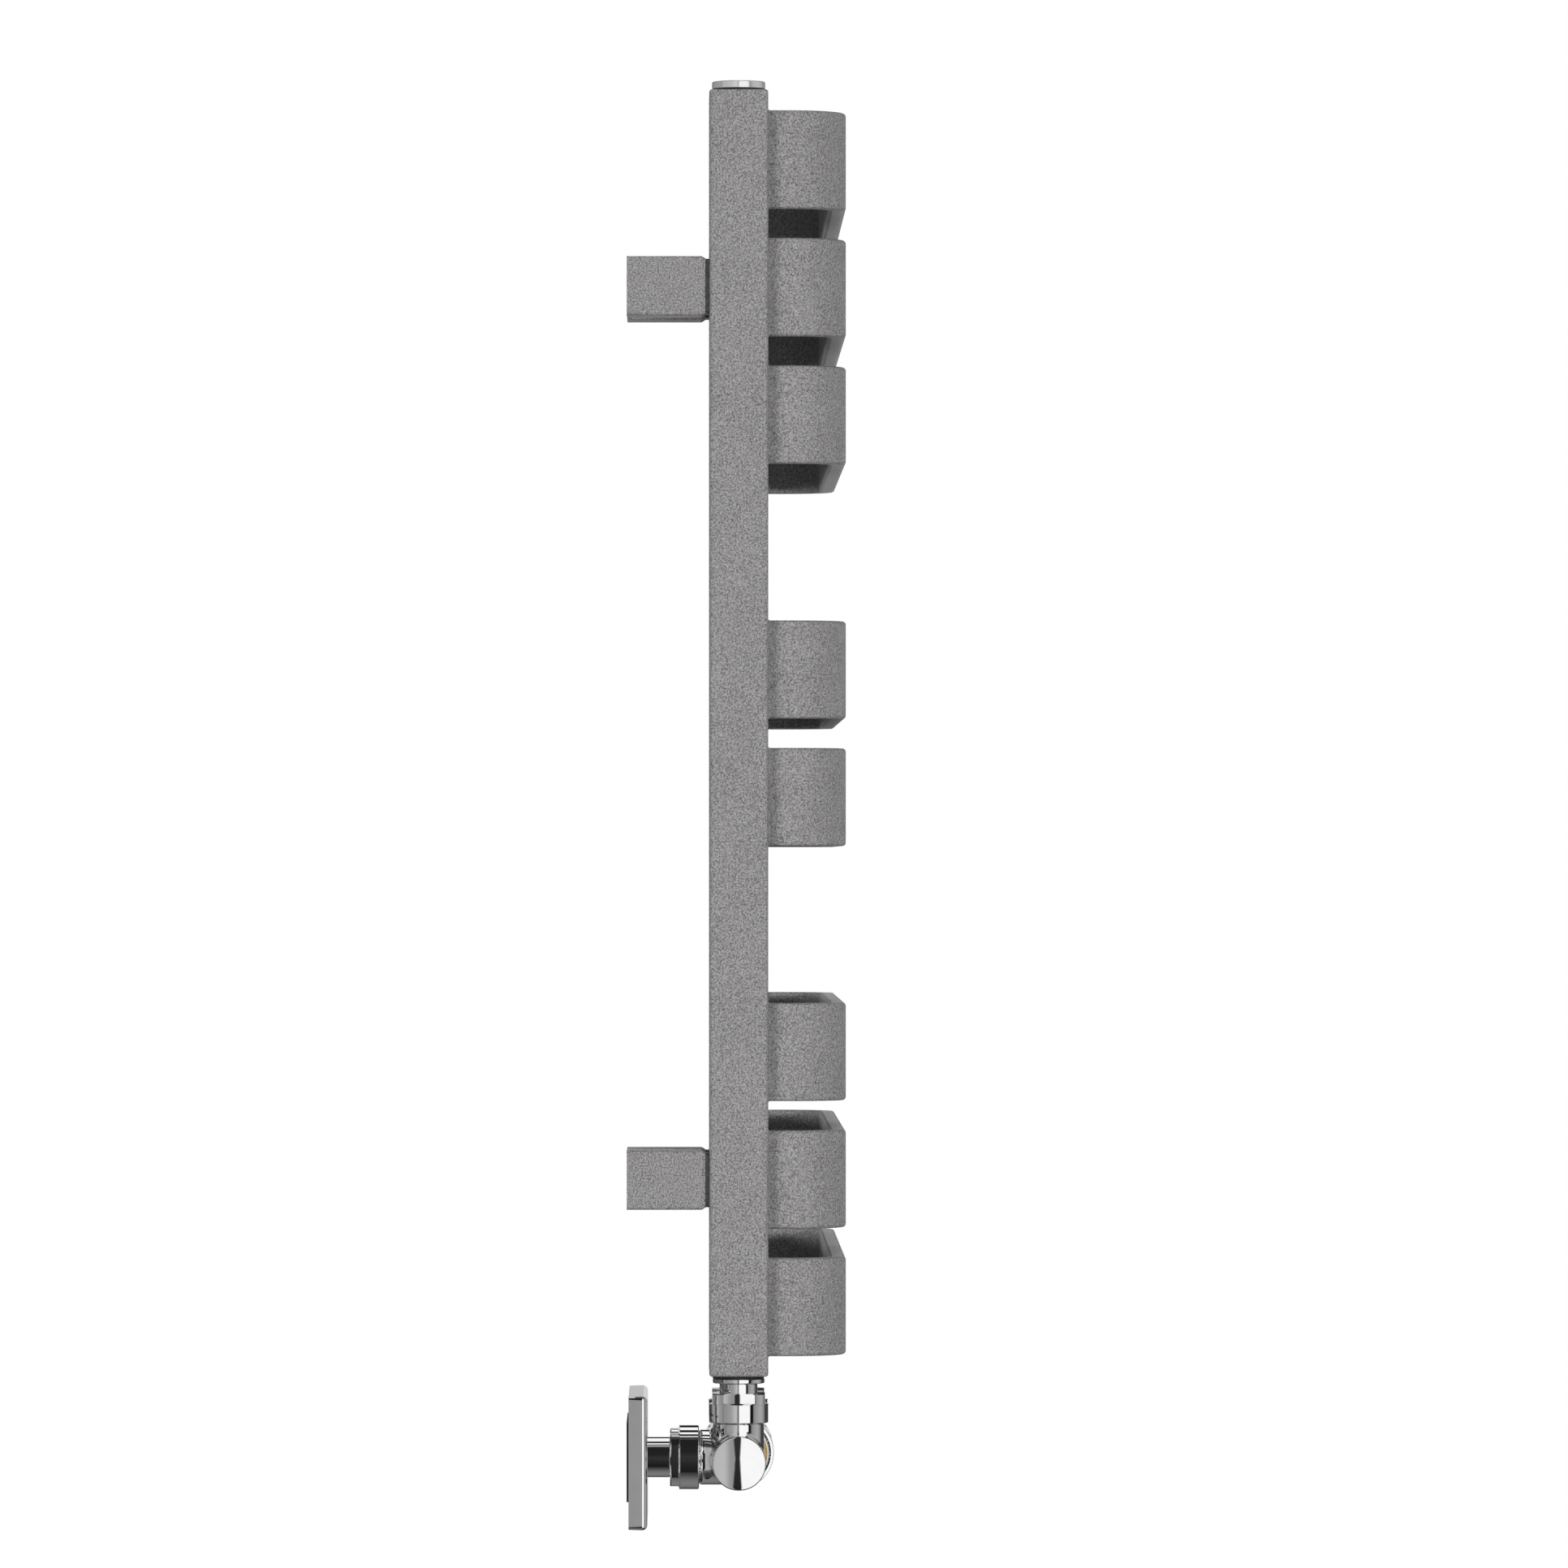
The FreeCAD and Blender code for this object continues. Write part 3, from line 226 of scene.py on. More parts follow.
@dataclass(frozen=True)
class Corner:
    """One corner of a section.

    Args:
        grown: radius, or growth past the outline.
        along: distance along the axis.
        soft: radius of the corner's own rounding.
        outline: what the ring through this corner looks like.
    """

    grown: float
    along: float
    soft: float = 0.0
    outline: Outline = ROUND

    def ring(self, stations: Stations, shift: float = 0.0) -> np.ndarray:
        """Gives the ring through this corner, in three coordinates."""
        flat = self.outline.ring(stations, self.grown) + np.array([shift, 0])
        return np.column_stack([flat, np.full(len(flat), self.along)])


def softened(corners: Sequence[Corner], closed: bool) -> list[Corner]:
    """Replaces each soft corner by the points of an arc.

    Args:
        corners: the section's corners in order.
        closed: whether the last corner joins the first.

    Returns:
        The section's points, all sharp.
    """
    result: list[Corner] = []
    for number, corner in enumerate(corners):
        at_end = not closed and number in (0, len(corners) - 1)
        if corner.soft <= 0 or at_end:
            result.append(corner)
            continue
        before, after = corners[number - 1], corners[(number + 1) % len(corners)]
        here = Vector((corner.grown, corner.along))
        back = Vector((before.grown, before.along)) - here
        ahead = Vector((after.grown, after.along)) - here
        half = back.angle(ahead) / 2
        room = [ARC_ROOM * side.length * corner.soft / (corner.soft + other.soft)
                for side, other in ((back, before), (ahead, after))]
        reach = min(corner.soft / math.tan(half), *room)
        radius = reach * math.tan(half)
        middle = here + (back.normalized() + ahead.normalized()).normalized() * (
            radius / math.sin(half))
        start = here + back.normalized() * reach - middle
        end = here + ahead.normalized() * reach - middle
        steps = max(2, math.ceil((math.pi - 2 * half) / ARC_STEP))
        for step in range(steps + 1):
            point = middle + start.slerp(end, step / steps) * radius
            result.append(Corner(point.x, point.y, 0, corner.outline))
    return result


def facing_frame(origin: Sequence[float], axis: Sequence[float],
                 up: Sequence[float]) -> Matrix:
    """Gives the placement whose Z runs along an axis and whose X points up.

    Args:
        origin: where the placement's own zero goes.
        axis: direction of the placement's Z.
        up: direction of the placement's X, square to the axis.

    Returns:
        A rigid four by four matrix.
    """
    along, side = Vector(axis).normalized(), Vector(up).normalized()
    turn = Matrix((side, along.cross(side), along)).transposed()
    return Matrix.Translation(Vector(origin)) @ turn.to_4x4()


class Skin:
    """A closed surface that is put together from rings of points."""

    def __init__(self) -> None:
        """Starts an empty surface."""
        self.mesh = bmesh.new()

    def add_ring(self, ring: np.ndarray, place: Matrix | None = None) -> list[bmesh.types.BMVert]:
        """Adds one ring's points and gives their vertices."""
        spot = place or Matrix.Identity(4)
        return [self.mesh.verts.new(spot @ Vector(point)) for point in ring]

    def bridge(self, first: list[bmesh.types.BMVert], second: list[bmesh.types.BMVert]) -> None:
        """Joins two rings with four-sided faces.

        Args:
            first: one ring's vertices.
            second: as many of the other ring.
        """
        count = len(first)
        for i in range(count):
            j = (i + 1) % count
            self.mesh.faces.new((first[i], first[j], second[j], second[i]))

    def tube(self, rings: Sequence[np.ndarray],
             place: Matrix | None = None) -> list[list[bmesh.types.BMVert]]:
        """Covers a row of rings and leaves both ends open.

        Args:
            rings: rings of three coordinates, all with as many points.
            place: where they go.

        Returns:
            Each ring's vertices.
        """
        rows = [self.add_ring(ring, place) for ring in rings]
        for first, second in zip(rows, rows[1:]):
            self.bridge(first, second)
        return rows

    def wrap(self, rings: Sequence[np.ndarray], place: Matrix | None = None,
             closed: bool = False, capped: bool = False) -> "Skin":
        """Covers a row of rings.

        Args:
            rings: rings of three coordinates, all with as many points.
            place: where they go.
            closed: whether the last ring joins the first.
            capped: whether the first and the last ring get a flat cover.

        Returns:
            The skin itself.
        """
        rows = self.tube(rings, place)
        if closed:
            self.bridge(rows[-1], rows[0])
        if capped:
            self.mesh.faces.new(list(reversed(rows[0])))
            self.mesh.faces.new(rows[-1])
        return self

    def section(self, corners: Sequence[Corner], place: Matrix, stations: Stations,
                closed: bool = True) -> "Skin":
        """Covers a section that is carried round its axis.

        Args:
            corners: the section's corners, from axis to axis unless it is closed.
            place: the axis, along the placement's Z.
            stations: where each ring has its points.
            closed: whether the last corner joins the first.

        Returns:
            The skin itself.
        """
        rings = [corner.ring(stations) for corner in softened(corners, closed)]
        return self.wrap(rings, place, closed)

    def fill(self, loops: Sequence[list[bmesh.types.BMVert]]) -> None:
        """Covers a flat area.

        Args:
            loops: the vertices of its outer edge and of each hole's.
        """
        edges = []
        for loop in loops:
            apart = [vertex for i, vertex in enumerate(loop)
                     if (vertex.co - loop[i - 1].co).length > TOUCHING]
            for i, vertex in enumerate(apart):
                pair = (vertex, apart[i - 1])
                edges.append(self.mesh.edges.get(pair) or self.mesh.edges.new(pair))
        bmesh.ops.triangle_fill(self.mesh, edges=edges, use_beauty=True, use_dissolve=False)

    def data(self, name: str) -> bpy.types.Mesh:
        """Ends the work on this skin.

        Args:
            name: the mesh's name.

        Returns:
            The finished mesh.
        """
        bmesh.ops.remove_doubles(self.mesh, verts=self.mesh.verts, dist=TOUCHING)
        bmesh.ops.recalc_face_normals(self.mesh, faces=self.mesh.faces)
        data = bpy.data.meshes.new(name)
        self.mesh.to_mesh(data)
        self.mesh.free()
        return data


# ---- finishes -----------------------------------------------------------------------------

class Graph:
    """A material's or the world's node graph, wired in words."""

    def __init__(self, owner: bpy.types.Material | bpy.types.World) -> None:
        """Empties the owner's graph.

        Args:
            owner: the material or the world.
        """
        owner.use_nodes = True
        self.tree = owner.node_tree
        self.tree.nodes.clear()

    def node(self, kind: str, inputs: dict[str | int, object] | None = None,
             **settings: object) -> bpy.types.Node:
        """Adds a node.

        Args:
            kind: the node's type name.
            inputs: what each socket holds, either a value or another node's output.
            settings: the node's own settings.

        Returns:
            The new node.
        """
        node = self.tree.nodes.new(kind)
        for name, setting in settings.items():
            setattr(node, name, setting)
        for name, given in (inputs or {}).items():
            if isinstance(given, bpy.types.NodeSocket):
                self.tree.links.new(given, node.inputs[name])
            else:
                node.inputs[name].default_value = given
        return node

    def noise(self, grain: float, detail: float = 2.0, rough: float = 0.5,
              stretch: tuple[float, float, float] = (1, 1, 1)) -> bpy.types.NodeSocket:
        """Adds noise that is fixed to the object.

        Args:
            grain: size of one speck, in metres.
            detail: how many finer layers it has.
            rough: how strong the finer layers are.
            stretch: how much finer it is along each axis.

        Returns:
            The noise's value.
        """
        where = self.node("ShaderNodeTexCoord").outputs["Object"]
        scaled = self.node("ShaderNodeMapping", {"Vector": where, "Scale": stretch})
        return self.node("ShaderNodeTexNoise", {
            "Vector": scaled.outputs["Vector"], "Scale": 1 / grain, "Detail": detail,
            "Roughness": rough}).outputs["Fac"]

    def ramp(self, value: bpy.types.NodeSocket,
             stops: Sequence[tuple[float, tuple[float, float, float]]]) -> bpy.types.NodeSocket:
        """Turns a value into a colour.

        Args:
            value: what drives it.
            stops: places from 0 to 1 and their colours.

        Returns:
            The colour.
        """
        node = self.node("ShaderNodeValToRGB", {"Fac": value})
        node.color_ramp.interpolation = "LINEAR"
        elements = node.color_ramp.elements
        while len(elements) < len(stops):
            elements.new(1.0)
        for element, (place, colour) in zip(elements, stops):
            element.position = place
        for element, (place, colour) in zip(elements, stops):
            element.color = (*colour, 1.0)
        return node.outputs["Color"]

    def spread(self, value: bpy.types.NodeSocket, low: float, high: float,
               start: float = NOISE_LOW, end: float = NOISE_HIGH) -> bpy.types.NodeSocket:
        """Maps a value between two limits.

        Args:
            value: what drives it.
            low: the result at the start.
            high: the result at the end.
            start: the value that gives the first limit.
            end: the value that gives the second.

        Returns:
            The mapped value, held between the limits.
        """
        return self.node("ShaderNodeMapRange", {
            "Value": value, "From Min": start, "From Max": end, "To Min": low,
            "To Max": high}).outputs["Result"]

    def sum(self, kind: str, *values: object) -> bpy.types.NodeSocket:
        """Adds one sum of values or sockets and gives its result."""
        return self.node("ShaderNodeMath", dict(enumerate(values)), operation=kind).outputs[0]

    def tones(self, value: bpy.types.NodeSocket, dark: tuple[float, float, float],
              light: tuple[float, float, float]) -> bpy.types.NodeSocket:
        """Blends two colours over the middle of a noise's range."""
        return self.ramp(value, [(NOISE_LOW, dark), (NOISE_HIGH, light)])

    def bump(self, value: bpy.types.NodeSocket, height: float,
             strength: float = 1.0) -> bpy.types.NodeSocket:
        """Adds relief of a height in metres and gives its normal."""
        return self.node("ShaderNodeBump", {
            "Height": value, "Distance": height, "Strength": strength}).outputs["Normal"]

    def surface(self, inputs: dict[str | int, object]) -> None:
        """Ends a material with one shader."""
        shader = self.node("ShaderNodeBsdfPrincipled", inputs)
        self.node("ShaderNodeOutputMaterial", {"Surface": shader.outputs["BSDF"]})


def grey(level: float) -> tuple[float, float, float]:
    """Gives a neutral colour."""
    return (level, level, level)


@dataclass(frozen=True)
class PowderCoat:
    """Fine speckled textured powder coat."""

    made: ClassVar[str] = "coated"
    slot: str = "powder_coat"
    dark: tuple[float, float, float] = (0.120, 0.117, 0.119)
    light: tuple[float, float, float] = (0.49, 0.478, 0.484)
    grain: float = 0.82 * MM
    relief: float = 0.11 * MM
    cloud: float = 26 * MM
    drift: float = 0.012
    rough: tuple[float, float] = (0.62, 0.44)

    def paint(self, graph: Graph) -> None:
        """Wires the finish: specks in the colour, the same specks as relief.

        Args:
            graph: the material's graph.
        """
        specks = graph.noise(self.grain, detail=1.5, rough=0.55)
        clouds = graph.noise(self.cloud, detail=1.0)
        mixed = graph.sum("ADD", specks, graph.spread(clouds, -self.drift, self.drift))
        colour = graph.ramp(mixed, [(0.30, self.dark), (0.72, self.light)])
        graph.surface({
            "Base Color": colour, "Roughness": graph.spread(specks, *self.rough),
            "Specular IOR Level": 0.45, "Coat Weight": 0.2, "Coat Roughness": 0.3,
            "Sheen Weight": 0.05, "Sheen Roughness": 0.25,
            "Normal": graph.bump(specks, self.relief, 0.8)})


@dataclass(frozen=True)
class Plating:
    """Chrome plate over brass, polished or satin."""

    made: ClassVar[str] = "plated"
    slot: str = "chrome_plate"
    colour: float = 0.93
    sheen: tuple[float, float] = (0.015, 0.035)
    metal: float = 1.0

    def paint(self, graph: Graph) -> None:
        """Wires the finish: a mirror with faint haze that drifts over it.

        Args:
            graph: the material's graph.
        """
        haze = graph.noise(7 * MM, detail=3.0, rough=0.6)
        tone = graph.tones(haze, grey(self.colour - 0.02), grey(self.colour + 0.02))
        graph.surface({
            "Base Color": tone, "Metallic": self.metal,
            "Roughness": graph.spread(haze, *self.sheen)})


@dataclass(frozen=True)
class TurnedMetal:
    """Bare metal with fine tool marks."""

    made: ClassVar[str] = "turned"
    slot: str
    dark: tuple[float, float, float]
    light: tuple[float, float, float]
    rough: tuple[float, float] = (0.22, 0.36)
    marks: float = 0.5 * MM

    def paint(self, graph: Graph) -> None:
        """Wires the finish: cloudy tone under fine marks.

        Args:
            graph: the material's graph.
        """
        clouds = graph.noise(4 * MM, detail=3.0)
        marks = graph.noise(self.marks, detail=2.0, stretch=(4, 1, 1))
        graph.surface({
            "Base Color": graph.tones(clouds, self.dark, self.light),
            "Metallic": 1.0, "Roughness": graph.spread(marks, *self.rough),
            "Normal": graph.bump(marks, 0.01 * MM, 0.4)})


@dataclass(frozen=True)
class Moulded:
    """Rubber, plastic or paint, with a fine even grain."""

    made: ClassVar[str] = "moulded"
    slot: str
    dark: tuple[float, float, float]
    light: tuple[float, float, float]
    rough: tuple[float, float]
    grain: float = 0.35 * MM
    relief: float = 0.012 * MM

    def paint(self, graph: Graph) -> None:
        """Wires the finish: a fine grain over a faint bloom.

        Args:
            graph: the material's graph.
        """
        grain = graph.noise(self.grain, detail=2.0)
        bloom = graph.noise(6 * MM, detail=2.0)
        graph.surface({
            "Base Color": graph.tones(bloom, self.dark, self.light),
            "Roughness": graph.spread(grain, *self.rough),
            "Normal": graph.bump(grain, self.relief, 0.6)})


class Coat(Enum):
    """The finishes that pieces of this radiator have, and a near-black copy of the powder coat that
    paints shade.
    """

    POWDER = PowderCoat()
    # painted shade: the powder coat made near-black, for the stubs that sit in the sleeves' shade
    SHADED = PowderCoat(dark=grey(0.015), light=grey(0.07))
    CHROME = Plating()
    SATIN = Plating(colour=0.9, sheen=(0.10, 0.14), metal=0.55)
    # brass tones darker than bright brass: partly the brass's own colour, partly painted shade for
    # the recessed housing behind the lockshield cap
    BRASS = TurnedMetal("bare_brass", (0.42, 0.28, 0.10), (0.60, 0.42, 0.17))
    STEEL = TurnedMetal("stainless_steel", (0.52, 0.52, 0.52), (0.66, 0.66, 0.65))
    ZINC = TurnedMetal("zinc_steel", (0.50, 0.52, 0.53), (0.66, 0.67, 0.66), (0.32, 0.5))
    RUBBER = Moulded("black_rubber", grey(0.012), grey(0.024), (0.62, 0.8))
    PLASTIC = Moulded("head_plastic", grey(0.09), grey(0.13), (0.42, 0.55))
    INK = Moulded("head_plastic", grey(0.012), grey(0.02), (0.45, 0.6), relief=0.004 * MM)


class Wardrobe:
    """Makes each finish's material once and dresses pieces in it."""

    def __init__(self) -> None:
        """Starts with no material made."""
        self.made: dict[Coat, bpy.types.Material] = {}

    def material(self, coat: Coat) -> bpy.types.Material:
        """Gives a finish's material.

        Args:
            coat: the finish.

        Returns:
            The material, made when it is first asked for.
        """
        if coat not in self.made:
            material = bpy.data.materials.new(coat.name.lower() + "_finish")
            coat.value.paint(Graph(material))
            self.made[coat] = material
        return self.made[coat]

    def dress(self, piece: bpy.types.Object, coat: Coat) -> None:
        """Gives a new piece its finish.

        Args:
            piece: the piece.
            coat: the finish.
        """
        piece.data.materials.clear()
        piece.data.materials.append(self.material(coat))

    def dress_node(self, node: bpy.types.Object, coat: Coat) -> None:
        """Gives a construction part that stays its finish, leaving its mesh alone.

        Args:
            node: the construction part.
            coat: the finish.
        """
        if not node.material_slots:
            node.data.materials.append(self.material(coat))
        for holder in node.material_slots:
            holder.material = self.material(coat)


WARDROBE = Wardrobe()


def smooth(data: bpy.types.Mesh, limit: float = 32.0) -> None:
    """Shades a mesh smooth and keeps the edges that turn by more than a limit in degrees."""
    data.shade_smooth()
    data.set_sharp_from_angle(angle=math.radians(limit))


def place_object(name: str, data: bpy.types.ID) -> bpy.types.Object:
    """Makes an object and puts it in the scene.

    Args:
        name: its name.
        data: its mesh, lamp, camera or text.

    Returns:
        The new object.
    """
    item = bpy.data.objects.new(name, data)
    bpy.context.scene.collection.objects.link(item)
    return item


def add_piece(name: str, data: bpy.types.Mesh, body: str, coat: Coat,
              *nodes: str) -> bpy.types.Object:
    """Puts a finished mesh in the scene as a piece of the radiator.

    Args:
        name: the piece's name.
        data: its mesh.
        body: the body that it moves with.
        coat: its finish.
        nodes: the construction parts that it stands for.

    Returns:
        The new object.
    """
    piece = place_object(name, data)
    WARDROBE.dress(piece, coat)
    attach(piece, body)
    if nodes:
        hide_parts(*nodes)
    LOG.info("%s: %d faces, on %s", name, len(data.polygons), body)
    return piece


def cover(node: str, skin: Skin | bpy.types.Mesh, coat: Coat, body: str = "radiator",
          weight: int = 60) -> None:
    """Adds the piece that stands for one construction part, with its large faces kept flat.

    Args:
        node: the construction part.
        skin: the piece's surface, or its finished mesh.
        coat: its finish.
        body: the body that it moves with.
        weight: how strongly large faces lead the shading.
    """
    name = f"{node}_{coat.value.made}"
    data = skin.data(name) if isinstance(skin, Skin) else skin
    smooth(data)
    weigh = add_piece(name, data, body, coat, node).modifiers.new(
        "even_shading", "WEIGHTED_NORMAL")
    weigh.keep_sharp = True
    weigh.weight = weight


def spin(node: str, corners: Sequence[Corner], place: Matrix, coat: Coat,
         body: str = "radiator", count: int = 96) -> None:
    """Adds a piece whose section is carried round an axis.

    Args:
        node: the construction part that it stands for.
        corners: the section; one that starts on the axis ends there too.
        place: the axis, along the placement's Z.
        coat: its finish.
        body: the body that it moves with.
        count: how many stations there are round it.
    """
    closed = corners[0].grown > 0
    cover(node, Skin().section(corners, place, round_stations(count), closed), coat, body)


def drilled(data: bpy.types.Mesh, cutter: bpy.types.Mesh) -> bpy.types.Mesh:
    """Takes one closed mesh out of another.

    Args:
        data: what is drilled.
        cutter: what is taken out.

    Returns:
        A new mesh.
    """
    base = place_object("blank", data)
    tool = place_object("drill", cutter)
    change = base.modifiers.new("drill", "BOOLEAN")
    change.operation = "DIFFERENCE"
    change.solver = "EXACT"
    change.object = tool
    graph = bpy.context.evaluated_depsgraph_get()
    result = bpy.data.meshes.new_from_object(base.evaluated_get(graph))
    bpy.data.objects.remove(base)
    bpy.data.objects.remove(tool)
    return result


def middle_of(node: str) -> Vector:
    """Gives the middle of a construction part's box."""
    low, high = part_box(node)
    return (low + high) / 2


# ---- collectors and bands -----------------------------------------------------------------

@dataclass
class Collector:
    """One square collector with its two welded ends."""

    name: str
    corner: float = 2 * MM
    plate: float = 4 * MM
    round: float = 1.5 * MM
    bore: float = 10.48 * MM
    boss: float = 12.68 * MM
    depth: float = 10 * MM
    lead: float = 0.4 * MM
    land: float = 4.8 * MM

    def build(self) -> None:
        """Makes the tube and both ends."""
        node = f"{self.name}_collector"
        low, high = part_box(node)
        box = RoundedBox(high.x - low.x, high.y - low.y, self.corner)
        stations = box.stations()
        middle = middle_of(node)
        foot = facing_frame((middle.x, middle.y, low.z), (0, 0, 1), (1, 0, 0))
        rings = [Corner(0, along, outline=box).ring(stations) for along in (0, high.z - low.z)]
        cover(node, Skin().wrap(rings, foot, capped=True), Coat.POWDER)
        for end, level, up in (("top", high.z, 1), ("bottom", low.z, -1)):
            place = facing_frame((middle.x, middle.y, level), (0, 0, up), (1, 0, 0))
            cover(f"{self.name}_{end}_end", self.end_skin(box, stations, place), Coat.POWDER)

    def end_skin(self, box: RoundedBox, stations: Stations, place: Matrix) -> Skin:
        """Makes a rounded end plate with its threaded boss inside the tube.

        Args:
            box: the tube's outline.
            stations: where its rings have points.
            place: the tube's end, with Z outwards.

        Returns:
            The end's surface.
        """
        inside = self.plate - self.depth
        return Skin().section([
            Corner(0, 0, outline=box), Corner(0, self.plate, self.round, box),
            Corner(-self.land, self.plate, outline=box),
            Corner(self.bore + self.lead, self.plate), Corner(self.bore, self.plate - self.lead),
            Corner(self.bore, inside), Corner(self.boss, inside), Corner(self.boss, 0),
        ], place, stations)


@dataclass
class HeatingBand:
    """One flat hollow band, bent in plan and welded to both collectors."""

    number: int
    thickness: float = 8.5 * MM
    edge: float = 1.8 * MM
    weld: float = 1.0 * MM
    bend_steps: int = 56
    cove_turns: ClassVar[list[float]] = [step * math.pi / 12 for step in range(7)]

    def path(self, low: Vector, high: Vector) -> list[tuple[Vector, Vector]]:
        """Gives the band's middle line in plan, from one weld to the other.

        Args:
            low: the lowest corner of the band's box.
            high: its highest corner.

        Returns:
            Points of the line, each with the way that the outer face looks there.
        """
        half = self.thickness / 2
        start_x, front_y = low.x + half, low.y + half
        far_x, back_y = high.x - half, high.y - half
        bend = (back_y - front_y) / 2
        middle_y = front_y + bend
        collector_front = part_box("return_collector")[0].y
        flow_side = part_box("flow_collector")[1].x
        rows = [(Vector((start_x, collector_front - d)), Vector((-1, 0))) for d in self.coves()]
        rows += self.arc(Vector((start_x + bend, middle_y)), bend, math.pi, math.pi * 1.5)
        rows += self.arc(Vector((far_x - bend, middle_y)), bend, math.pi * 1.5, math.pi * 2.5)
        rows += [(Vector((flow_side + d, back_y)), Vector((0, 1))) for d in reversed(self.coves())]
        return rows

    def coves(self) -> list[float]:
        """Gives distances from a collector at which the weld's hollow round has a ring."""
        return [self.weld * (1 - math.cos(turn)) for turn in self.cove_turns]

    def arc(self, centre: Vector, radius: float, start: float,
            end: float) -> list[tuple[Vector, Vector]]:
        """Gives points round a bend.

        Args:
            centre: the bend's centre in plan.
            radius: its radius.
            start: the polar angle of its first point.
            end: that of its last.

        Returns:
            The points, each with the way out of the bend.
        """
        steps = round(self.bend_steps * (end - start) / math.pi)
        turns = [start + (end - start) * k / steps for k in range(steps + 1)]
        outward = [Vector((math.cos(turn), math.sin(turn))) for turn in turns]
        return [(centre + radius * out, out) for out in outward]

    def build(self) -> None:
        """Sweeps the band's section along its path, wider where it is welded."""
        node = f"heating_band_{self.number}"
        low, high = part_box(node)
        box = RoundedBox(self.thickness, high.z - low.z, self.edge)
        stations = box.stations()
        level = (low.z + high.z) / 2
        rows = self.path(low, high)
        flare = [self.weld * (1 - math.sin(turn)) for turn in self.cove_turns]
        growth = flare + [0.0] * (len(rows) - 2 * len(flare)) + flare[::-1]
        rings = []
        for (spot, outward), grown in zip(rows, growth):
            flat = box.ring(stations, grown)
            rings.append(np.column_stack([
                spot.x + flat[:, 0] * outward.x, spot.y + flat[:, 0] * outward.y,
                level + flat[:, 1]]))
        cover(node, Skin().wrap(rings, capped=True), Coat.POWDER)


# ---- what is screwed into the collectors' ends --------------------------------------------

def collector_end(name: str, way: int, off: float = 0.0) -> Matrix:
    """Gives the axis that runs out of a collector's end.

    Args:
        name: the collector's name.
        way: 1 for its top, -1 for its bottom.
        off: how far outside the end the axis starts.

    Returns:
        The placement, with Z away from the collector.
    """
    middle = middle_of(f"{name}_collector")
    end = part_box(f"{name}_{'top' if way > 0 else 'bottom'}_end")[way > 0].z
    return facing_frame((middle.x, middle.y, end + way * off), (0, 0, way), (way, 0, 0))


def seal_ring(bore: float, thickness: float, soft: float) -> list[Corner]:
    """Gives the section of a flat rubber ring with soft outer edges."""
    return [Corner(bore, 0), Corner(SEAL_RADIUS, 0, soft), Corner(SEAL_RADIUS, thickness, soft),
            Corner(bore, thickness)]


@dataclass
class TopPlugs:
    """The air vent with its bleed screw, the blanking plug and their seals."""

    shank: float = 10.43 * MM
    depth: float = 10 * MM
    seal: float = 1 * MM
    radius: float = 13.6 * MM
    head: float = 3.6 * MM
    cup: float = 4.6 * MM
    cup_depth: float = 2.2 * MM
    bleed: float = 3 * MM
    seat: float = 1.2 * MM
    bleed_depth: float = 8.6 * MM
    drive: float = 3.4 * MM
    hexagon: float = 5.5 * MM
    hexagon_depth: float = 2.4 * MM
    gap: float = 0.06 * MM
    cut: float = 0.35 * MM

    def outside(self) -> list[Corner]:
        """Gives the corners that both plugs share.

        Returns:
            The corners from the shank's end up to the head's rim.
        """
        top = self.seal + self.head
        return [
            Corner(self.shank, -self.depth, 0.4 * MM), Corner(self.shank, self.seal),
            Corner(self.radius, self.seal, 0.2 * MM), Corner(self.radius, top, 0.8 * MM),
        ]

    def build(self) -> None:
        """Makes both plugs, the screw and the seals."""
        top = self.seal + self.head
        floor = top - self.cup_depth
        tip = floor - self.bleed_depth
        vent = [Corner(self.seat, -self.depth)] + self.outside() + [
            Corner(self.cup, top, self.cut), Corner(self.cup, floor, 0.2 * MM),
            Corner(self.bleed, floor), Corner(self.bleed, tip), Corner(self.seat, tip)]
        spin("vent_plug", vent, collector_end("return", 1), Coat.SATIN)

        thread = self.bleed - self.gap
        screw = [
            Corner(0, tip + self.gap), Corner(self.seat, tip + self.gap),
            Corner(thread, tip + self.bleed / 2), Corner(thread, floor),
            *square_end(self.drive, floor, top - self.gap, self.cut)]
        spin("bleed_screw", screw, collector_end("return", 1), Coat.BRASS, "bleed_screw")

        six = Facets(6, self.hexagon * math.cos(math.pi / 6))
        blank = [Corner(0, -self.depth)] + self.outside() + [
            Corner(self.hexagon + self.cut, top),
            Corner(self.hexagon, top - self.cut, outline=six),
            Corner(self.hexagon, top - self.hexagon_depth, outline=six),
            Corner(0, top - self.hexagon_depth - 0.4 * MM)]
        spin("blanking_plug", blank, collector_end("flow", 1), Coat.SATIN)

        seals = Skin()
        for name in ("return", "flow"):
            seals.section(seal_ring(self.shank, self.seal, 0.3 * MM), collector_end(name, 1),
                          round_stations())
        cover("plug_seals", seals, Coat.RUBBER)


# ---- wall brackets ------------------------------------------------------------------------

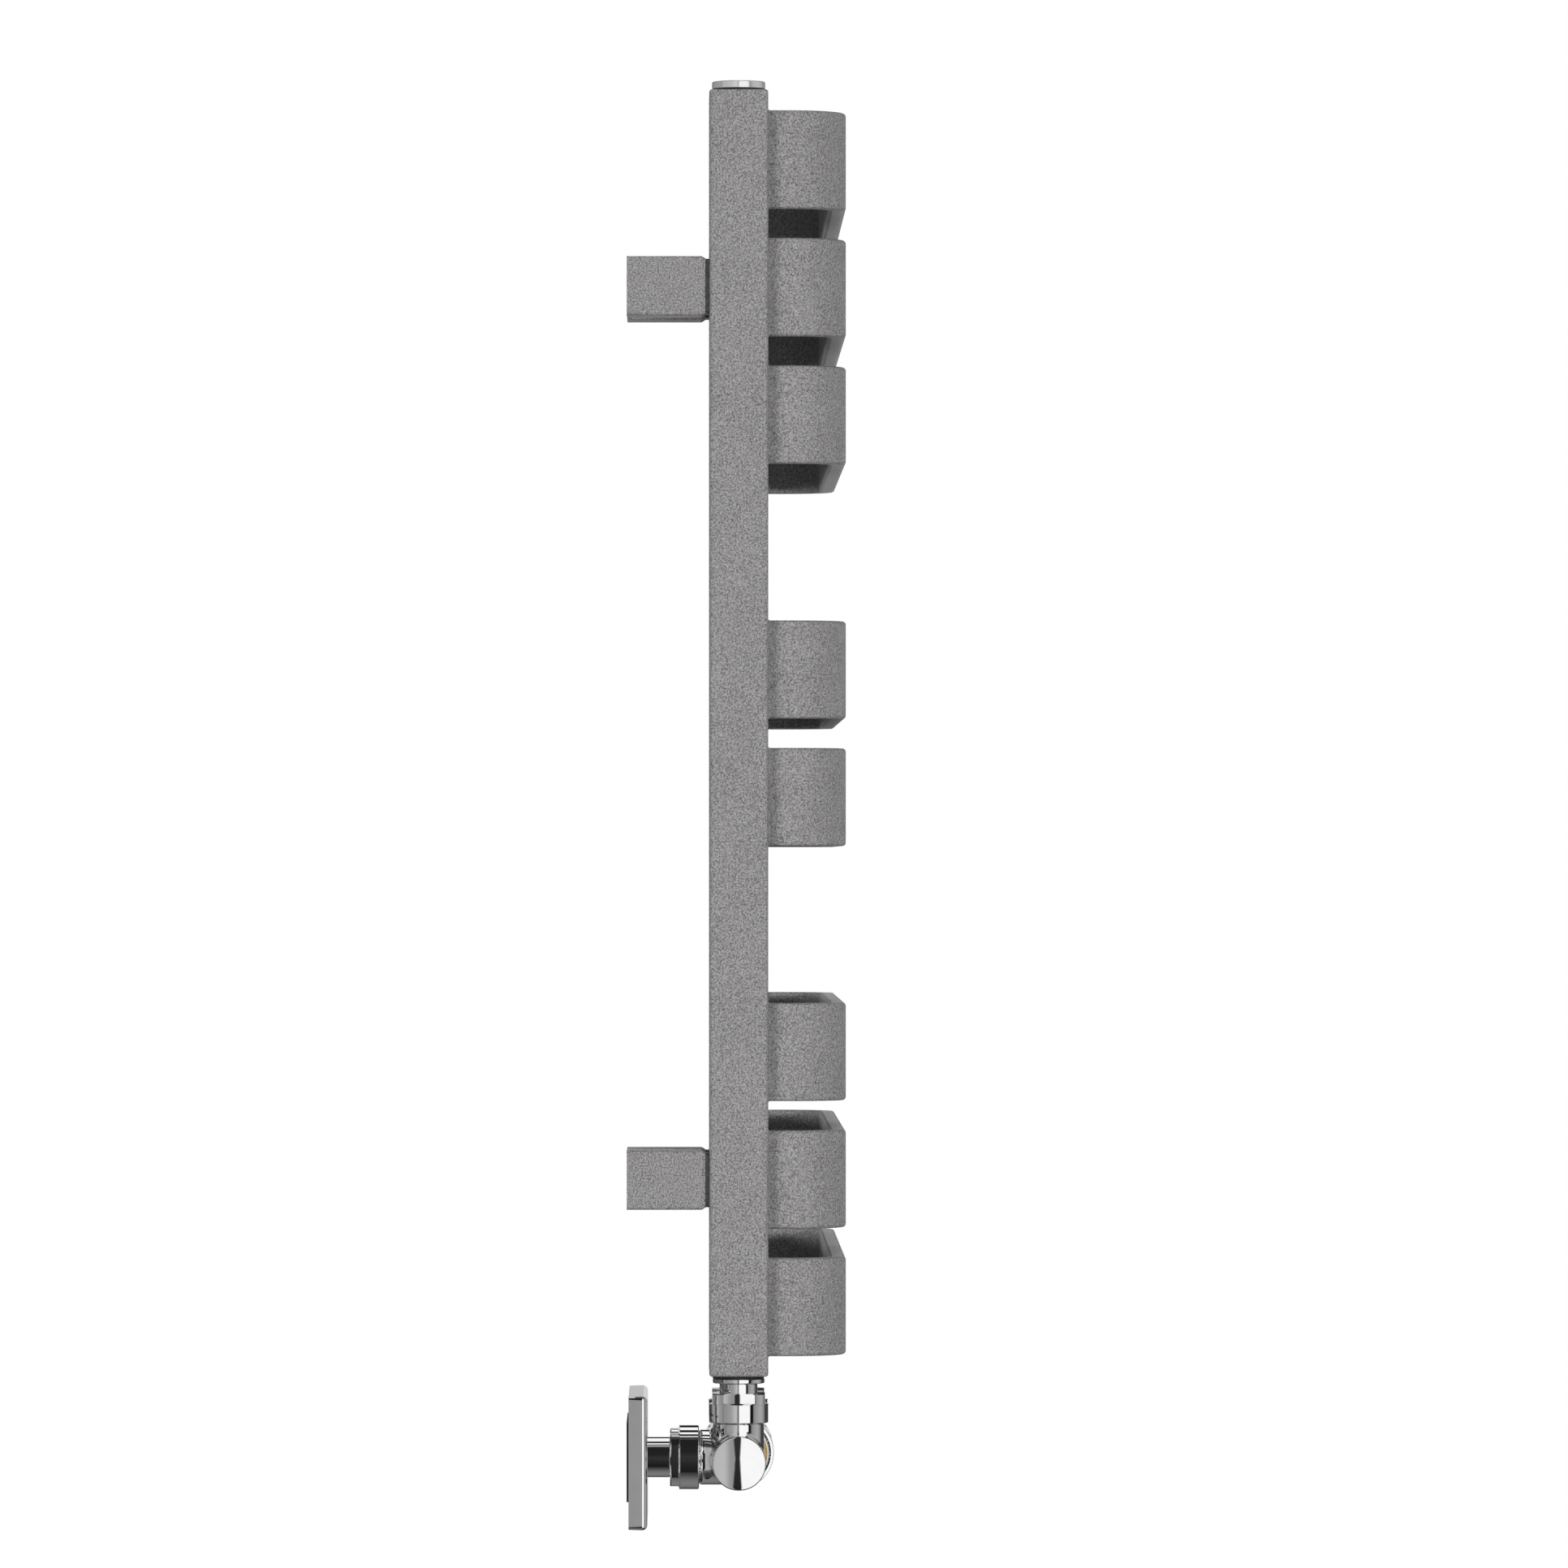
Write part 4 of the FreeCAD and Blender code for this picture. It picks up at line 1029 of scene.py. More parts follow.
@dataclass
class Bracket:
    """One square wall bracket: sleeve over stub."""

    number: int
    corner: float = 2 * MM
    wall: float = 1.2 * MM
    front: float = 1.1 * MM
    stub_corner: float = 1.4 * MM
    stub_wall: float = 3 * MM
    hole: float = 2.7 * MM
    stub_hole: float = 2.5 * MM
    setbacks: tuple[float, float] = (6.5 * MM, 32 * MM)
    drill_length: float = 20 * MM

    def drill(self, centre: Vector, radius: float, *setbacks: float) -> bpy.types.Mesh:
        """Makes the drills that reach the grub screws from below.

        Args:
            centre: the middle of what is drilled.
            radius: the drills' radius.
            setbacks: how far each one stands from the wall.

        Returns:
            One mesh with all of them.
        """
        skin = Skin()
        for setback in setbacks:
            place = facing_frame((centre.x, -setback, centre.z), (0, 0, -1), (1, 0, 0))
            skin.section([
                Corner(0, 0), Corner(radius, 0), Corner(radius, self.drill_length),
                Corner(0, self.drill_length)], place, round_stations(32), False)
        return skin.data("drills")

    def tube(self, node: str, corner: float, wall: float, front: float, coat: Coat,
             drills: Callable[[Vector], bpy.types.Mesh]) -> None:
        """Makes a square tube that stands out from the wall, and drills it.

        Args:
            node: the construction part that it stands for.
            corner: radius of its long edges.
            wall: its thickness.
            front: height of the chamfer on its front rim.
            coat: its finish.
            drills: gives what is drilled out of it.
        """
        low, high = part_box(node)
        centre = middle_of(node)
        length = high.y - low.y
        box = RoundedBox(high.x - low.x, high.z - low.z, corner)
        place = facing_frame((centre.x, high.y, centre.z), (0, -1, 0), (1, 0, 0))
        rim = 1.7 * front
        skin = Skin().section([
            Corner(0, 0, 0.15 * MM, box), Corner(0, length - rim, 0.6 * front, box),
            Corner(-front, length, 0.3 * front, box), Corner(-wall, length, outline=box),
            Corner(-wall, 0, outline=box),
        ], place, box.stations())
        cover(node, drilled(skin.data(node), drills(centre)), coat, weight=50)

    def build(self) -> None:
        """Makes the sleeve and the stub."""
        self.tube(f"bracket_sleeve_{self.number}", self.corner, self.wall, self.front, Coat.POWDER,
                  lambda centre: self.drill(centre, self.hole, *self.setbacks))
        # the stub wears the near-black copy of the powder coat, painted shade for the dark inside
        # the sleeve
        self.tube(f"bracket_stub_{self.number}", self.stub_corner, self.stub_wall, 0.1 * MM,
                  Coat.SHADED,
                  lambda centre: self.drill(centre, self.stub_hole, self.setbacks[1]))


# ---- unions and pipe connections ----------------------------------------------------------

@dataclass
class CouplingNut:
    """A nut with four milled flats above a round skirt."""

    lip_bore: float
    lip: float
    flat_length: float
    skirt: float
    corner: float = 15.45 * MM
    apothem: float = 13.5 * MM
    crown: float = 0.3 * MM
    skirt_radius: float = 15.1 * MM
    thread: float = 12 * MM
    chamfer: float = 0.6 * MM
    runout: float = 0.7 * MM
    runout_steps: int = 6

    def skin(self, place: Matrix) -> Skin:
        """Makes the nut.

        Args:
            place: its axis, with the flats first along the placement's Z.

        Returns:
            The nut's surface.
        """
        flats = Facets(4, self.apothem, 0, self.crown)
        end = self.flat_length + self.skirt
        runout = []
        for step in range(self.runout_steps + 1):
            share = step / self.runout_steps
            rise = (self.corner - self.apothem) * (1 - math.cos(math.pi * share)) / 2
            runout.append(Corner(self.corner, self.flat_length - self.runout * (1 - share),
                                 outline=Facets(4, self.apothem + rise, 0,
                                                self.crown * (1 - share))))
        stations = round_stations(FINE, flats.corner_turns(self.corner))
        return Skin().section([
            Corner(self.lip_bore, 0, 0.15 * MM),
            Corner(self.corner - self.chamfer, 0, 0.1 * MM, flats),
            Corner(self.corner, self.chamfer, 0.25 * MM, flats),
            *runout,
            Corner(self.skirt_radius, self.flat_length + 0.02 * MM, 0.15 * MM),
            Corner(self.skirt_radius, end, 0.5 * MM), Corner(self.thread, end, 0.2 * MM),
            Corner(self.thread, self.lip), Corner(self.lip_bore, self.lip),
        ], place, stations)


@dataclass
class CollectorUnion:
    """The tail, seal and nut that hang the valve on one collector."""

    name: str
    seal: float = 1.5 * MM
    shank: float = 10.43 * MM
    depth: float = 10 * MM
    flange: float = 2.3 * MM
    flange_radius: float = 13.25 * MM
    neck: float = 9.6 * MM
    collar: float = 11.6 * MM
    collar_start: float = 13.3 * MM
    collar_end: float = 16 * MM
    bore: float = 6.5 * MM
    play: float = 0.3 * MM
    nut_start: float = 8.8 * MM

    def build(self, seals: Skin) -> None:
        """Makes the tail and the nut.

        Args:
            seals: the skin that this union's seal is added to.
        """
        foot = collector_end(self.name, -1)
        flange_end = self.seal + self.flange
        tail = [
            Corner(self.bore, -self.depth), Corner(self.shank, -self.depth),
            Corner(self.shank, self.seal), Corner(self.flange_radius, self.seal, 0.35 * MM),
            Corner(self.flange_radius - 0.1 * MM, flange_end, 0.6 * MM),
            Corner(self.neck, flange_end, 0.6 * MM), Corner(self.neck, self.collar_start),
            Corner(self.collar, self.collar_start), Corner(self.collar, self.collar_end),
            Corner(self.bore, self.collar_end)]
        spin(f"{self.name}_union_tail", tail, foot, Coat.CHROME, count=FINE)
        nut = CouplingNut(lip_bore=self.neck + self.play, lip=4.5 * MM, flat_length=5.7 * MM,
                          skirt=9.4 * MM)
        start = collector_end(self.name, -1, self.nut_start)
        cover(f"{self.name}_union_nut", nut.skin(start), Coat.CHROME)
        seals.section(seal_ring(self.shank, self.seal, 0.35 * MM), foot, round_stations())


@dataclass
class PipeConnection:
    """The sleeve over a wall pipe and the nut that grips the pipe."""

    name: str
    bore: float = 7.6 * MM
    radius: float = 9 * MM

    def build(self) -> None:
        """Makes the sleeve and the nut on the pipe's axis."""
        node = f"{self.name}_pipe_sleeve"
        low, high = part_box(node)
        middle = middle_of(node)
        length = high.y - low.y
        wall = facing_frame((middle.x, high.y, middle.z), (0, -1, 0), (0, 0, 1))
        sleeve = [
            Corner(self.bore, 0), Corner(self.radius, 0, 0.2 * MM),
            Corner(self.radius, length, 0.25 * MM), Corner(self.bore, length)]
        spin(node, sleeve, wall, Coat.CHROME, count=FINE)
        nut = CouplingNut(lip_bore=self.bore, lip=4 * MM, flat_length=5 * MM, skirt=9.8 * MM)
        start = facing_frame((middle.x, low.y, middle.z), (0, -1, 0), (0, 0, 1))
        cover(f"{self.name}_pipe_nut", nut.skin(start), Coat.CHROME)


# ---- valve body ---------------------------------------------------------------------------

@dataclass
class Field:
    """Distances to a solid and the way out of it, at many points at once."""

    depth: np.ndarray
    way: np.ndarray

    @staticmethod
    def nearest(past: np.ndarray) -> tuple[np.ndarray, np.ndarray]:
        """Gives the distance to the nearest of a solid's faces.

        Args:
            past: how far each point lies past each of the faces, a column for each face.

        Returns:
            The distances, negative inside, and each face's share in the way out.
        """
        share = np.maximum(past, 0)
        beyond = np.linalg.norm(share, axis=1)
        inner = (past == past.max(axis=1)[:, None]) * 1.0
        share = np.where(beyond[:, None] > 0, share / np.maximum(beyond, TINY)[:, None], inner)
        return beyond + np.minimum(past.max(axis=1), 0), share

    @classmethod
    def rod(cls, points: np.ndarray, axis: int, start: Sequence[float], length: float,
            radius: float, edge: float = 0.0) -> "Field":
        """Gives the field of a rod along one axis with rounded rims.

        Args:
            points: three coordinates a row.
            axis: 0, 1 or 2 for X, Y or Z.
            start: middle of the rod's lower end.
            length: its length along the axis.
            radius: its radius.
            edge: radius of its rims.

        Returns:
            The field, whose distances are negative inside.
        """
        away = points - np.array(start)
        radial = away.copy()
        radial[:, axis] = 0
        reach = np.maximum(np.linalg.norm(radial, axis=1), 1e-9)
        out = reach - (radius - edge)
        past = np.abs(away[:, axis] - length / 2) - (length / 2 - edge)
        end = np.zeros_like(away)
        end[:, axis] = np.sign(away[:, axis] - length / 2)
        depth, share = cls.nearest(np.stack([out, past], axis=1))
        way = share[:, :1] * radial / reach[:, None] + share[:, 1:] * end
        return cls(depth - edge, way)

    @classmethod
    def block(cls, points: np.ndarray, low: Sequence[float], high: Sequence[float],
              edge: float) -> "Field":
        """Gives the field of a block with rounded edges.

        Args:
            points: three coordinates a row.
            low: the block's lowest corner.
            high: its highest corner.
            edge: radius of its edges.

        Returns:
            The field, whose distances are negative inside.
        """
        away = points - (np.array(low) + np.array(high)) / 2
        past = np.abs(away) - ((np.array(high) - np.array(low)) / 2 - edge)
        depth, share = cls.nearest(past)
        return cls(depth - edge, share * np.sign(away))

    def melt(self, other: "Field", reach: float) -> "Field":
        """Joins two solids, with a hollow round where their faces meet at an angle.

        Args:
            other: the other solid's field at the same points.
            reach: how wide the hollow round is.

        Returns:
            The field of both together.
        """
        bend = np.clip(1 - (self.way * other.way).sum(axis=1), 0, 1)
        span = reach * bend + 1e-9
        share = np.clip(0.5 + 0.5 * (other.depth - self.depth) / span, 0, 1)
        depth = other.depth + (self.depth - other.depth) * share - span * share * (1 - share)
        way = other.way + (self.way - other.way) * share[:, None]
        return Field(depth, way / np.maximum(np.linalg.norm(way, axis=1), 1e-6)[:, None])


@dataclass
class Casting:
    """Turns a field of distances into a mesh whose points lie exactly on its surface."""

    distance: Callable[[np.ndarray], np.ndarray]
    low: np.ndarray
    high: np.ndarray
    pitch: float
    probe: float = 0.02
    passes: int = 5

    def slope(self, points: np.ndarray) -> np.ndarray:
        """Gives the field's gradient.

        Args:
            points: three coordinates a row.

        Returns:
            The gradient at each point.
        """
        step = self.pitch * self.probe
        sides = []
        for axis in range(3):
            move = np.zeros(3)
            move[axis] = step
            sides.append((self.distance(points + move) - self.distance(points - move)) / (2 * step))
        return np.stack(sides, axis=1)

    def mesh(self, name: str) -> bpy.types.Mesh:
        """Makes the mesh, with one point for each cell that the surface crosses.

        Args:
            name: the mesh's name.

        Returns:
            A closed mesh with exact normals.
        """
        counts = np.ceil((self.high - self.low) / self.pitch).astype(int) + 1
        axes = [self.low[a] + self.pitch * np.arange(counts[a]) for a in range(3)]
        grid = np.stack(np.meshgrid(*axes, indexing="ij"), axis=-1)
        values = self.distance(grid.reshape(-1, 3)).reshape(counts)
        inside = values < 0
        cells = tuple(counts - 1)
        total = np.zeros((*cells, 3))
        hits = np.zeros(cells)
        for axis in range(3):
            self.gather(values, axis, total, hits)
        used = hits > 0
        index = np.full(cells, -1)
        index[used] = np.arange(used.sum())
        points = self.low + self.pitch * (np.argwhere(used) + total[used] / hits[used][:, None])
        for _ in range(self.passes):
            slope = self.slope(points)
            size = np.maximum((slope ** 2).sum(axis=1), 1e-6)
            points = points - slope * (self.distance(points) / size)[:, None]
        faces = [self.quads(inside, index, axis) for axis in range(3)]
        data = bpy.data.meshes.new(name)
        data.from_pydata(points.tolist(), [], np.concatenate(faces).tolist())
        data.validate()
        data.shade_smooth()
        slope = self.slope(points)
        slope /= np.linalg.norm(slope, axis=1)[:, None]
        data.normals_split_custom_set_from_vertices(slope.tolist())
        return data

    @staticmethod
    def gather(values: np.ndarray, axis: int, total: np.ndarray, hits: np.ndarray) -> None:
        """Adds each crossing of the grid's lines along one axis to the cells beside it.

        Args:
            values: distances at the grid's points.
            axis: 0, 1 or 2 for X, Y or Z.
            total: sum of the crossings' places in each cell, which grows.
            hits: number of crossings in each cell, which grows.
        """
        first = np.take(values, range(values.shape[axis] - 1), axis)
        second = np.take(values, range(1, values.shape[axis]), axis)
        crossed = (first < 0) != (second < 0)
        share = np.where(crossed, first / np.where(crossed, first - second, 1), 0)
        others = [a for a in range(3) if a != axis]
        for one in (0, 1):
            for two in (0, 1):
                cut = [slice(None)] * 3
                cut[others[0]] = slice(one, values.shape[others[0]] - 1 + one)
                cut[others[1]] = slice(two, values.shape[others[1]] - 1 + two)
                here, part = crossed[tuple(cut)], share[tuple(cut)]
                hits += here
                total[..., axis] += np.where(here, part, 0)
                total[..., others[0]] += np.where(here, one, 0)
                total[..., others[1]] += np.where(here, two, 0)

    @staticmethod
    def quads(inside: np.ndarray, index: np.ndarray, axis: int) -> np.ndarray:
        """Gives the four-sided faces across the grid's lines along one axis.

        Args:
            inside: which of the grid's points lie inside.
            index: number of each cell's vertex.
            axis: 0, 1 or 2 for X, Y or Z.

        Returns:
            Four vertex numbers a row, seen from outside.
        """
        others = [(axis + 1) % 3, (axis + 2) % 3]
        cut = [slice(None)] * 3
        cut[others[0]] = slice(1, -1)
        cut[others[1]] = slice(1, -1)
        core = inside[tuple(cut)]
        start = np.take(core, range(core.shape[axis] - 1), axis)
        end = np.take(core, range(1, core.shape[axis]), axis)
        spots = np.argwhere(start != end)
        leaving = start[tuple(spots.T)]
        for other in others:
            spots[:, other] += 1
        ring = []
        for one, two in ((0, 0), (1, 0), (1, 1), (0, 1)):
            cell = spots.copy()
            cell[:, others[0]] -= one
            cell[:, others[1]] -= two
            ring.append(index[tuple(cell.T)])
        faces = np.stack(ring, axis=1)
        faces[~leaving] = faces[~leaving][:, ::-1]
        return faces


@dataclass
class ValveBody:
    """The twin body: one barrel with two upward and two wall branches, cast in one piece."""

    barrel: float = 13.2 * MM
    branch: float = 12.9 * MM
    wall_branch: float = 12.75 * MM
    spigot: float = 11.95 * MM
    branch_top: float = 24.2 * MM
    wall_branch_start: float = 37.1 * MM
    bridge_back: float = 38.5 * MM
    bridge_height: float = 15 * MM
    rim: float = 0.5 * MM
    melt: float = 2.6 * MM
    bore: float = 10.5 * MM
    bore_depth: float = 9 * MM
    waterway: float = 5.5 * MM
    waterway_start: float = 6 * MM
    pipe_bore: float = 7.6 * MM
    stop: float = 14 * MM
    waist: float = 1.0 * MM
    waist_at: float = 1.8 * MM
    pitch: float = 0.62 * MM
    margin: float = 2.5

    def build(self) -> None:
        """Casts the body and adds it."""
        low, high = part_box("valve_body")
        spread = self.margin * self.pitch
        casting = Casting(self.distance, np.array(low) - spread, np.array(high) + spread,
                          self.pitch)
        data = casting.mesh("valve_body_plated")
        add_piece("valve_body_plated", data, "radiator", Coat.CHROME, "valve_body")

    def hollow(self, points: np.ndarray, axis: Sequence[float]) -> np.ndarray:
        """Gives how much a wall branch is drawn in on its sides, next to the nut.

        Args:
            points: three coordinates a row.
            axis: a point on the branch's axis.

        Returns:
            A depth for each point.
        """
        away = points - np.array(axis)
        past = np.clip(-self.wall_branch_start - points[:, 1], 0, None) / self.waist_at
        side = away[:, 0] ** 2 / np.maximum(away[:, 0] ** 2 + away[:, 2] ** 2, TINY)
        return self.waist * past * np.exp(1 - past) * side

    def distance(self, points: np.ndarray) -> np.ndarray:
        """Gives distances to the finished body, with its sockets and waterways.

        Args:
            points: three coordinates a row.

        Returns:
            A distance for each point, negative inside.
        """
        low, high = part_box("valve_body")
        axis_y, axis_z = middle_of("lockshield_cap").yz
        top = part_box("return_bottom_end")[0].z - self.branch_top
        solid = Field.rod(points, 0, (low.x, axis_y, axis_z), high.x - low.x, self.barrel,
                          self.rim)
        added, taken = [], []
        for name in ("return", "flow"):
            x = middle_of(f"{name}_collector").x
            axis = (x, axis_y, axis_z)
            up = Field.rod(points, 2, axis, top - axis_z, self.branch, self.rim)
            out = Field.rod(points, 1, axis, -self.wall_branch_start - axis_y,
                            self.wall_branch - self.hollow(points, axis), self.rim)
            solid = solid.melt(up, self.melt).melt(out, self.melt)
            added.append(Field.rod(points, 2, axis, high.z - axis_z, self.spigot))
            added.append(Field.rod(points, 1, axis, high.y - axis_y, self.spigot))
            taken.append(Field.rod(points, 2, (x, axis_y, axis_z + self.waterway_start),
                                   high.z - axis_z, self.waterway))
            taken.append(Field.rod(points, 1, (x, axis_y + self.stop, axis_z), high.y - axis_y,
                                   self.pipe_bore))
        web = Field.block(
            points, (middle_of("return_collector").x, axis_y, axis_z - self.bridge_height / 2),
            (middle_of("flow_collector").x, -self.bridge_back, axis_z + self.bridge_height / 2),
            2 * self.rim)
        solid = solid.melt(web, self.melt)
        for start in (low.x - self.bore_depth, high.x - self.bore_depth):
            taken.append(Field.rod(points, 0, (start, axis_y, axis_z), 2 * self.bore_depth,
                                   self.bore))
        depth = np.minimum.reduce([solid.depth, *(part.depth for part in added)])
        return np.maximum.reduce([depth, *(-part.depth for part in taken)])


# ---- both ends of the barrel --------------------------------------------------------------

def barrel_end(way: int) -> Matrix:
    """Gives the axis that runs out of the barrel's end.

    Args:
        way: 1 towards the head, -1 towards the lockshield.

    Returns:
        The placement, with Z outwards from the barrel's end face.
    """
    middle = middle_of("head_handle" if way > 0 else "lockshield_cap")
    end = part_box("valve_body")[way > 0].x
    return facing_frame((end, middle.y, middle.z), (way, 0, 0), (0, 0, 1))


def along_barrel(way: int, node: str) -> tuple[float, float]:
    """Gives where a part lies along the axis that runs out of the barrel's end.

    Args:
        way: 1 towards the head, -1 towards the lockshield.
        node: the part.

    Returns:
        Where it starts and where it ends.
    """
    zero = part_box("valve_body")[way > 0].x
    low, high = sorted(way * (corner.x - zero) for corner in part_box(node))
    return low, high


def dome_rings(edge: float, top: float, height: float,
               shares: Sequence[float]) -> list[Corner]:
    """Gives the corners of a shallow dome.

    Args:
        edge: radius at which the dome would reach its full height.
        top: where its middle lies along the axis.
        height: how far it falls from there to the edge.
        shares: at which shares of that radius it has a ring.

    Returns:
        The corners, as far as the axis.
    """
    rings = [Corner(edge * share, top - height * share ** 2) for share in shares]
    return [*rings, Corner(0, top)]


def square_end(half: float, start: float, end: float, cut: float) -> list[Corner]:
    """Gives the corners of a square drive with a chamfered end.

    Args:
        half: half of the square's diagonal.
        start: where the square starts along the axis.
        end: where it ends.
        cut: size of the chamfer.

    Returns:
        The corners, as far as the axis.
    """
    turn = math.pi / 4
    square = Facets(4, half * math.cos(turn), turn)
    return [Corner(half, start, outline=square), Corner(half, end - cut, outline=square),
            Corner(half - 0.5 * MM, end, outline=Facets(4, square.apothem - cut, turn)),
            Corner(0, end)]


# ---- lockshield ---------------------------------------------------------------------------

@dataclass
class Lockshield:
    """The gland, its spindle and the plain cap over them."""

    cap_bore: float = 12.05 * MM
    cap_radius: float = 13.75 * MM
    cap_wall: float = 2.5 * MM
    dome: float = 1.0 * MM
    collar: float = 12 * MM
    collar_length: float = 6 * MM
    thread_depth: float = 0.45 * MM
    neck: float = 7 * MM
    neck_length: float = 8 * MM
    spindle: float = 4 * MM
    drive: float = 3.6 * MM
    drive_length: float = 5 * MM
    screw: float = 2.5 * MM
    disc: float = 6.5 * MM
    disc_length: float = 2.6 * MM
    disc_end: float = 2.8 * MM
    thread: float = 10.45 * MM
    pitch: float = 1 * MM
    gap: float = 0.05 * MM

    def build(self) -> None:
        """Makes the cap, the gland and the spindle."""
        axis = barrel_end(-1)
        start, end = along_barrel(-1, "lockshield_cap")
        face = dome_rings(self.cap_radius - 0.1 * MM, end, self.dome,
                          (0.92, 0.85, 0.75, 0.64, 0.52, 0.4, 0.27, 0.14))
        cap = [
            Corner(0, end - self.cap_wall), Corner(self.cap_bore, end - self.cap_wall, 0.5 * MM),
            Corner(self.cap_bore, start), Corner(self.cap_radius, start, 0.35 * MM),
            Corner(self.cap_radius, end - self.dome, 0.9 * MM), *face]
        spin("lockshield_cap", cap, axis, Coat.CHROME, "lockshield_cap", 144)

        inner, neck_end = along_barrel(-1, "lockshield_gland")
        bore = self.spindle + self.gap
        threads = []
        for row in range(int(self.neck_length / self.pitch) - 1):
            at = self.collar_length + self.pitch * (row + 0.75)
            threads += [Corner(self.neck - self.thread_depth, at, 0.1 * MM),
                        Corner(self.neck, at + self.pitch / 2, 0.1 * MM)]
        gland = [
            Corner(bore, inner), Corner(self.thread, inner), Corner(self.thread, 0),
            Corner(self.collar, 0, 0.2 * MM), Corner(self.collar, self.collar_length, 0.6 * MM),
            Corner(self.neck, self.collar_length, 0.3 * MM), *threads,
            Corner(self.neck - 0.4 * MM, neck_end), Corner(bore, neck_end)]
        spin("lockshield_gland", gland, axis, Coat.BRASS)

        tip, back = along_barrel(-1, "lockshield_spindle")
        round_end = back - self.drive_length
        disc_end = inner + self.disc_end
        disc_start = disc_end - self.disc_length
        spindle = [
            Corner(0, tip), Corner(self.screw, tip, 0.4 * MM), Corner(self.screw, disc_start),
            Corner(self.disc, disc_start), Corner(self.disc, disc_end),
            Corner(self.spindle, disc_end), Corner(self.spindle, round_end, 0.3 * MM),
            *square_end(self.drive, round_end, back, 0.4 * MM)]
        spin("lockshield_spindle", spindle, axis, Coat.BRASS, "lockshield_spindle")


# ---- thermostatic head --------------------------------------------------------------------

@dataclass
class ThermostaticHead:
    """The collar nut, the turning handle with its numbers, and the end cap."""

    nut_thread: float = 15 * MM
    nut_radius: float = 16.3 * MM
    nut_lip_bore: float = 13 * MM
    nut_lip: float = 3 * MM
    bore: float = 16.9 * MM
    radius: float = 18.5 * MM
    ledge: float = 15.5 * MM
    cap_thickness: float = 2 * MM
    cap_radius: float = 16.85 * MM
    web: tuple[float, float] = (55.5 * MM, 58.5 * MM)
    hub: tuple[float, float] = (12.08 * MM, 14.08 * MM)
    hub_start: float = 27 * MM
    flutes: int = 20
    flute_depth: float = 0.55 * MM
    flute_span: tuple[float, float] = (27 * MM, 67 * MM)
    flute_share: float = 0.62
    flute_runout: float = 0.13
    flute_steps: int = 48
    groove: float = 16 * MM
    groove_width: float = 0.8 * MM
    groove_depth: float = 0.5 * MM
    groove_lip: float = 0.4 * MM
    dome: float = 0.55 * MM
    knurls: int = 60
    knurl_depth: float = 0.28 * MM
    knurl_share: float = 0.8
    nut_chamfer: float = 0.75 * MM
    numbers: int = 6
    number_height: float = 5.2 * MM
    digit_share: float = 0.7
    number_start: float = 6.6 * MM
    number_step: float = math.radians(60)
    number_lift: float = 0.03 * MM
    rest_number: int = 3
    ink_cuts: int = 3
    pointer_size: tuple[float, float] = (1.4 * MM, 1.0 * MM)
    pointer_start: float = 0.85 * MM
    pointer_lift: float = 0.04 * MM

    def grip(self) -> list[Corner]:
        """Gives the fluted grip, whose hollows run out softly at both ends.

        Returns:
            A row of rings, as sharp corners of the handle's section.
        """
        start, end = self.flute_span
        rows = []
        for step in range(self.flute_steps + 1):
            share = step / self.flute_steps
            ease = min(share, 1 - share) / self.flute_runout
            depth = self.flute_depth * (math.sin(min(ease, 1) * math.pi / 2) if ease else 0)
            rows.append(Corner(self.radius, start + (end - start) * share,
                               outline=Flutes(self.flutes, depth, self.flute_share)))
        return rows

    def build(self) -> None:
        """Makes the head's visible pieces."""
        self.collar_nut()
        self.handle()
        self.end_cap()
        for number in range(self.numbers):
            self.mark(number)
        self.pointer()

    def collar_nut(self) -> None:
        """Makes the fixed nut, with a fine grip round it."""
        start, end = along_barrel(1, "head_collar_nut")
        seat = end - self.nut_lip
        grip = Flutes(self.knurls, self.knurl_depth, self.knurl_share)
        nut = [
            Corner(self.nut_thread, start, 0.15 * MM),
            Corner(self.nut_radius - self.nut_chamfer, start, 0.25 * MM),
            Corner(self.nut_radius, start + self.nut_chamfer, outline=grip),
            Corner(self.nut_radius, end - 0.5 * MM, outline=grip),
            Corner(self.nut_radius - 0.4 * MM, end), Corner(self.nut_lip_bore, end),
            Corner(self.nut_lip_bore, seat), Corner(self.nut_thread, seat)]
        spin("head_collar_nut", nut, barrel_end(1), Coat.CHROME, count=480)

    def handle(self) -> None:
        """Makes the turning handle, with a ring groove and a fluted grip."""
        start, end = along_barrel(1, "head_handle")
        face, back = self.web
        hub_in, hub_out = self.hub
        seat = end - self.cap_thickness
        groove, low = self.groove, self.radius - self.groove_depth
        groove_end = groove + self.groove_width
        corners = [
            Corner(0, back), Corner(self.ledge, back), Corner(self.ledge, seat),
            Corner(self.bore, seat), Corner(self.bore, end, 0.3 * MM),
            Corner(self.radius, end, 0.9 * MM), *reversed(self.grip()),
            Corner(self.radius, groove_end + self.groove_lip, 0.15 * MM),
            Corner(low, groove_end, 0.2 * MM), Corner(low, groove, 0.2 * MM),
            Corner(self.radius, groove - self.groove_lip, 0.15 * MM),
            Corner(self.radius, start + 0.35 * MM, 0.4 * MM),
            Corner(self.bore, start, 0.2 * MM), Corner(self.bore, face),
            Corner(hub_out, face), Corner(hub_out, self.hub_start),
            Corner(hub_in, self.hub_start), Corner(hub_in, face), Corner(0, face)]
        spin("head_handle", corners, barrel_end(1), Coat.CHROME, "head_handle", 240)

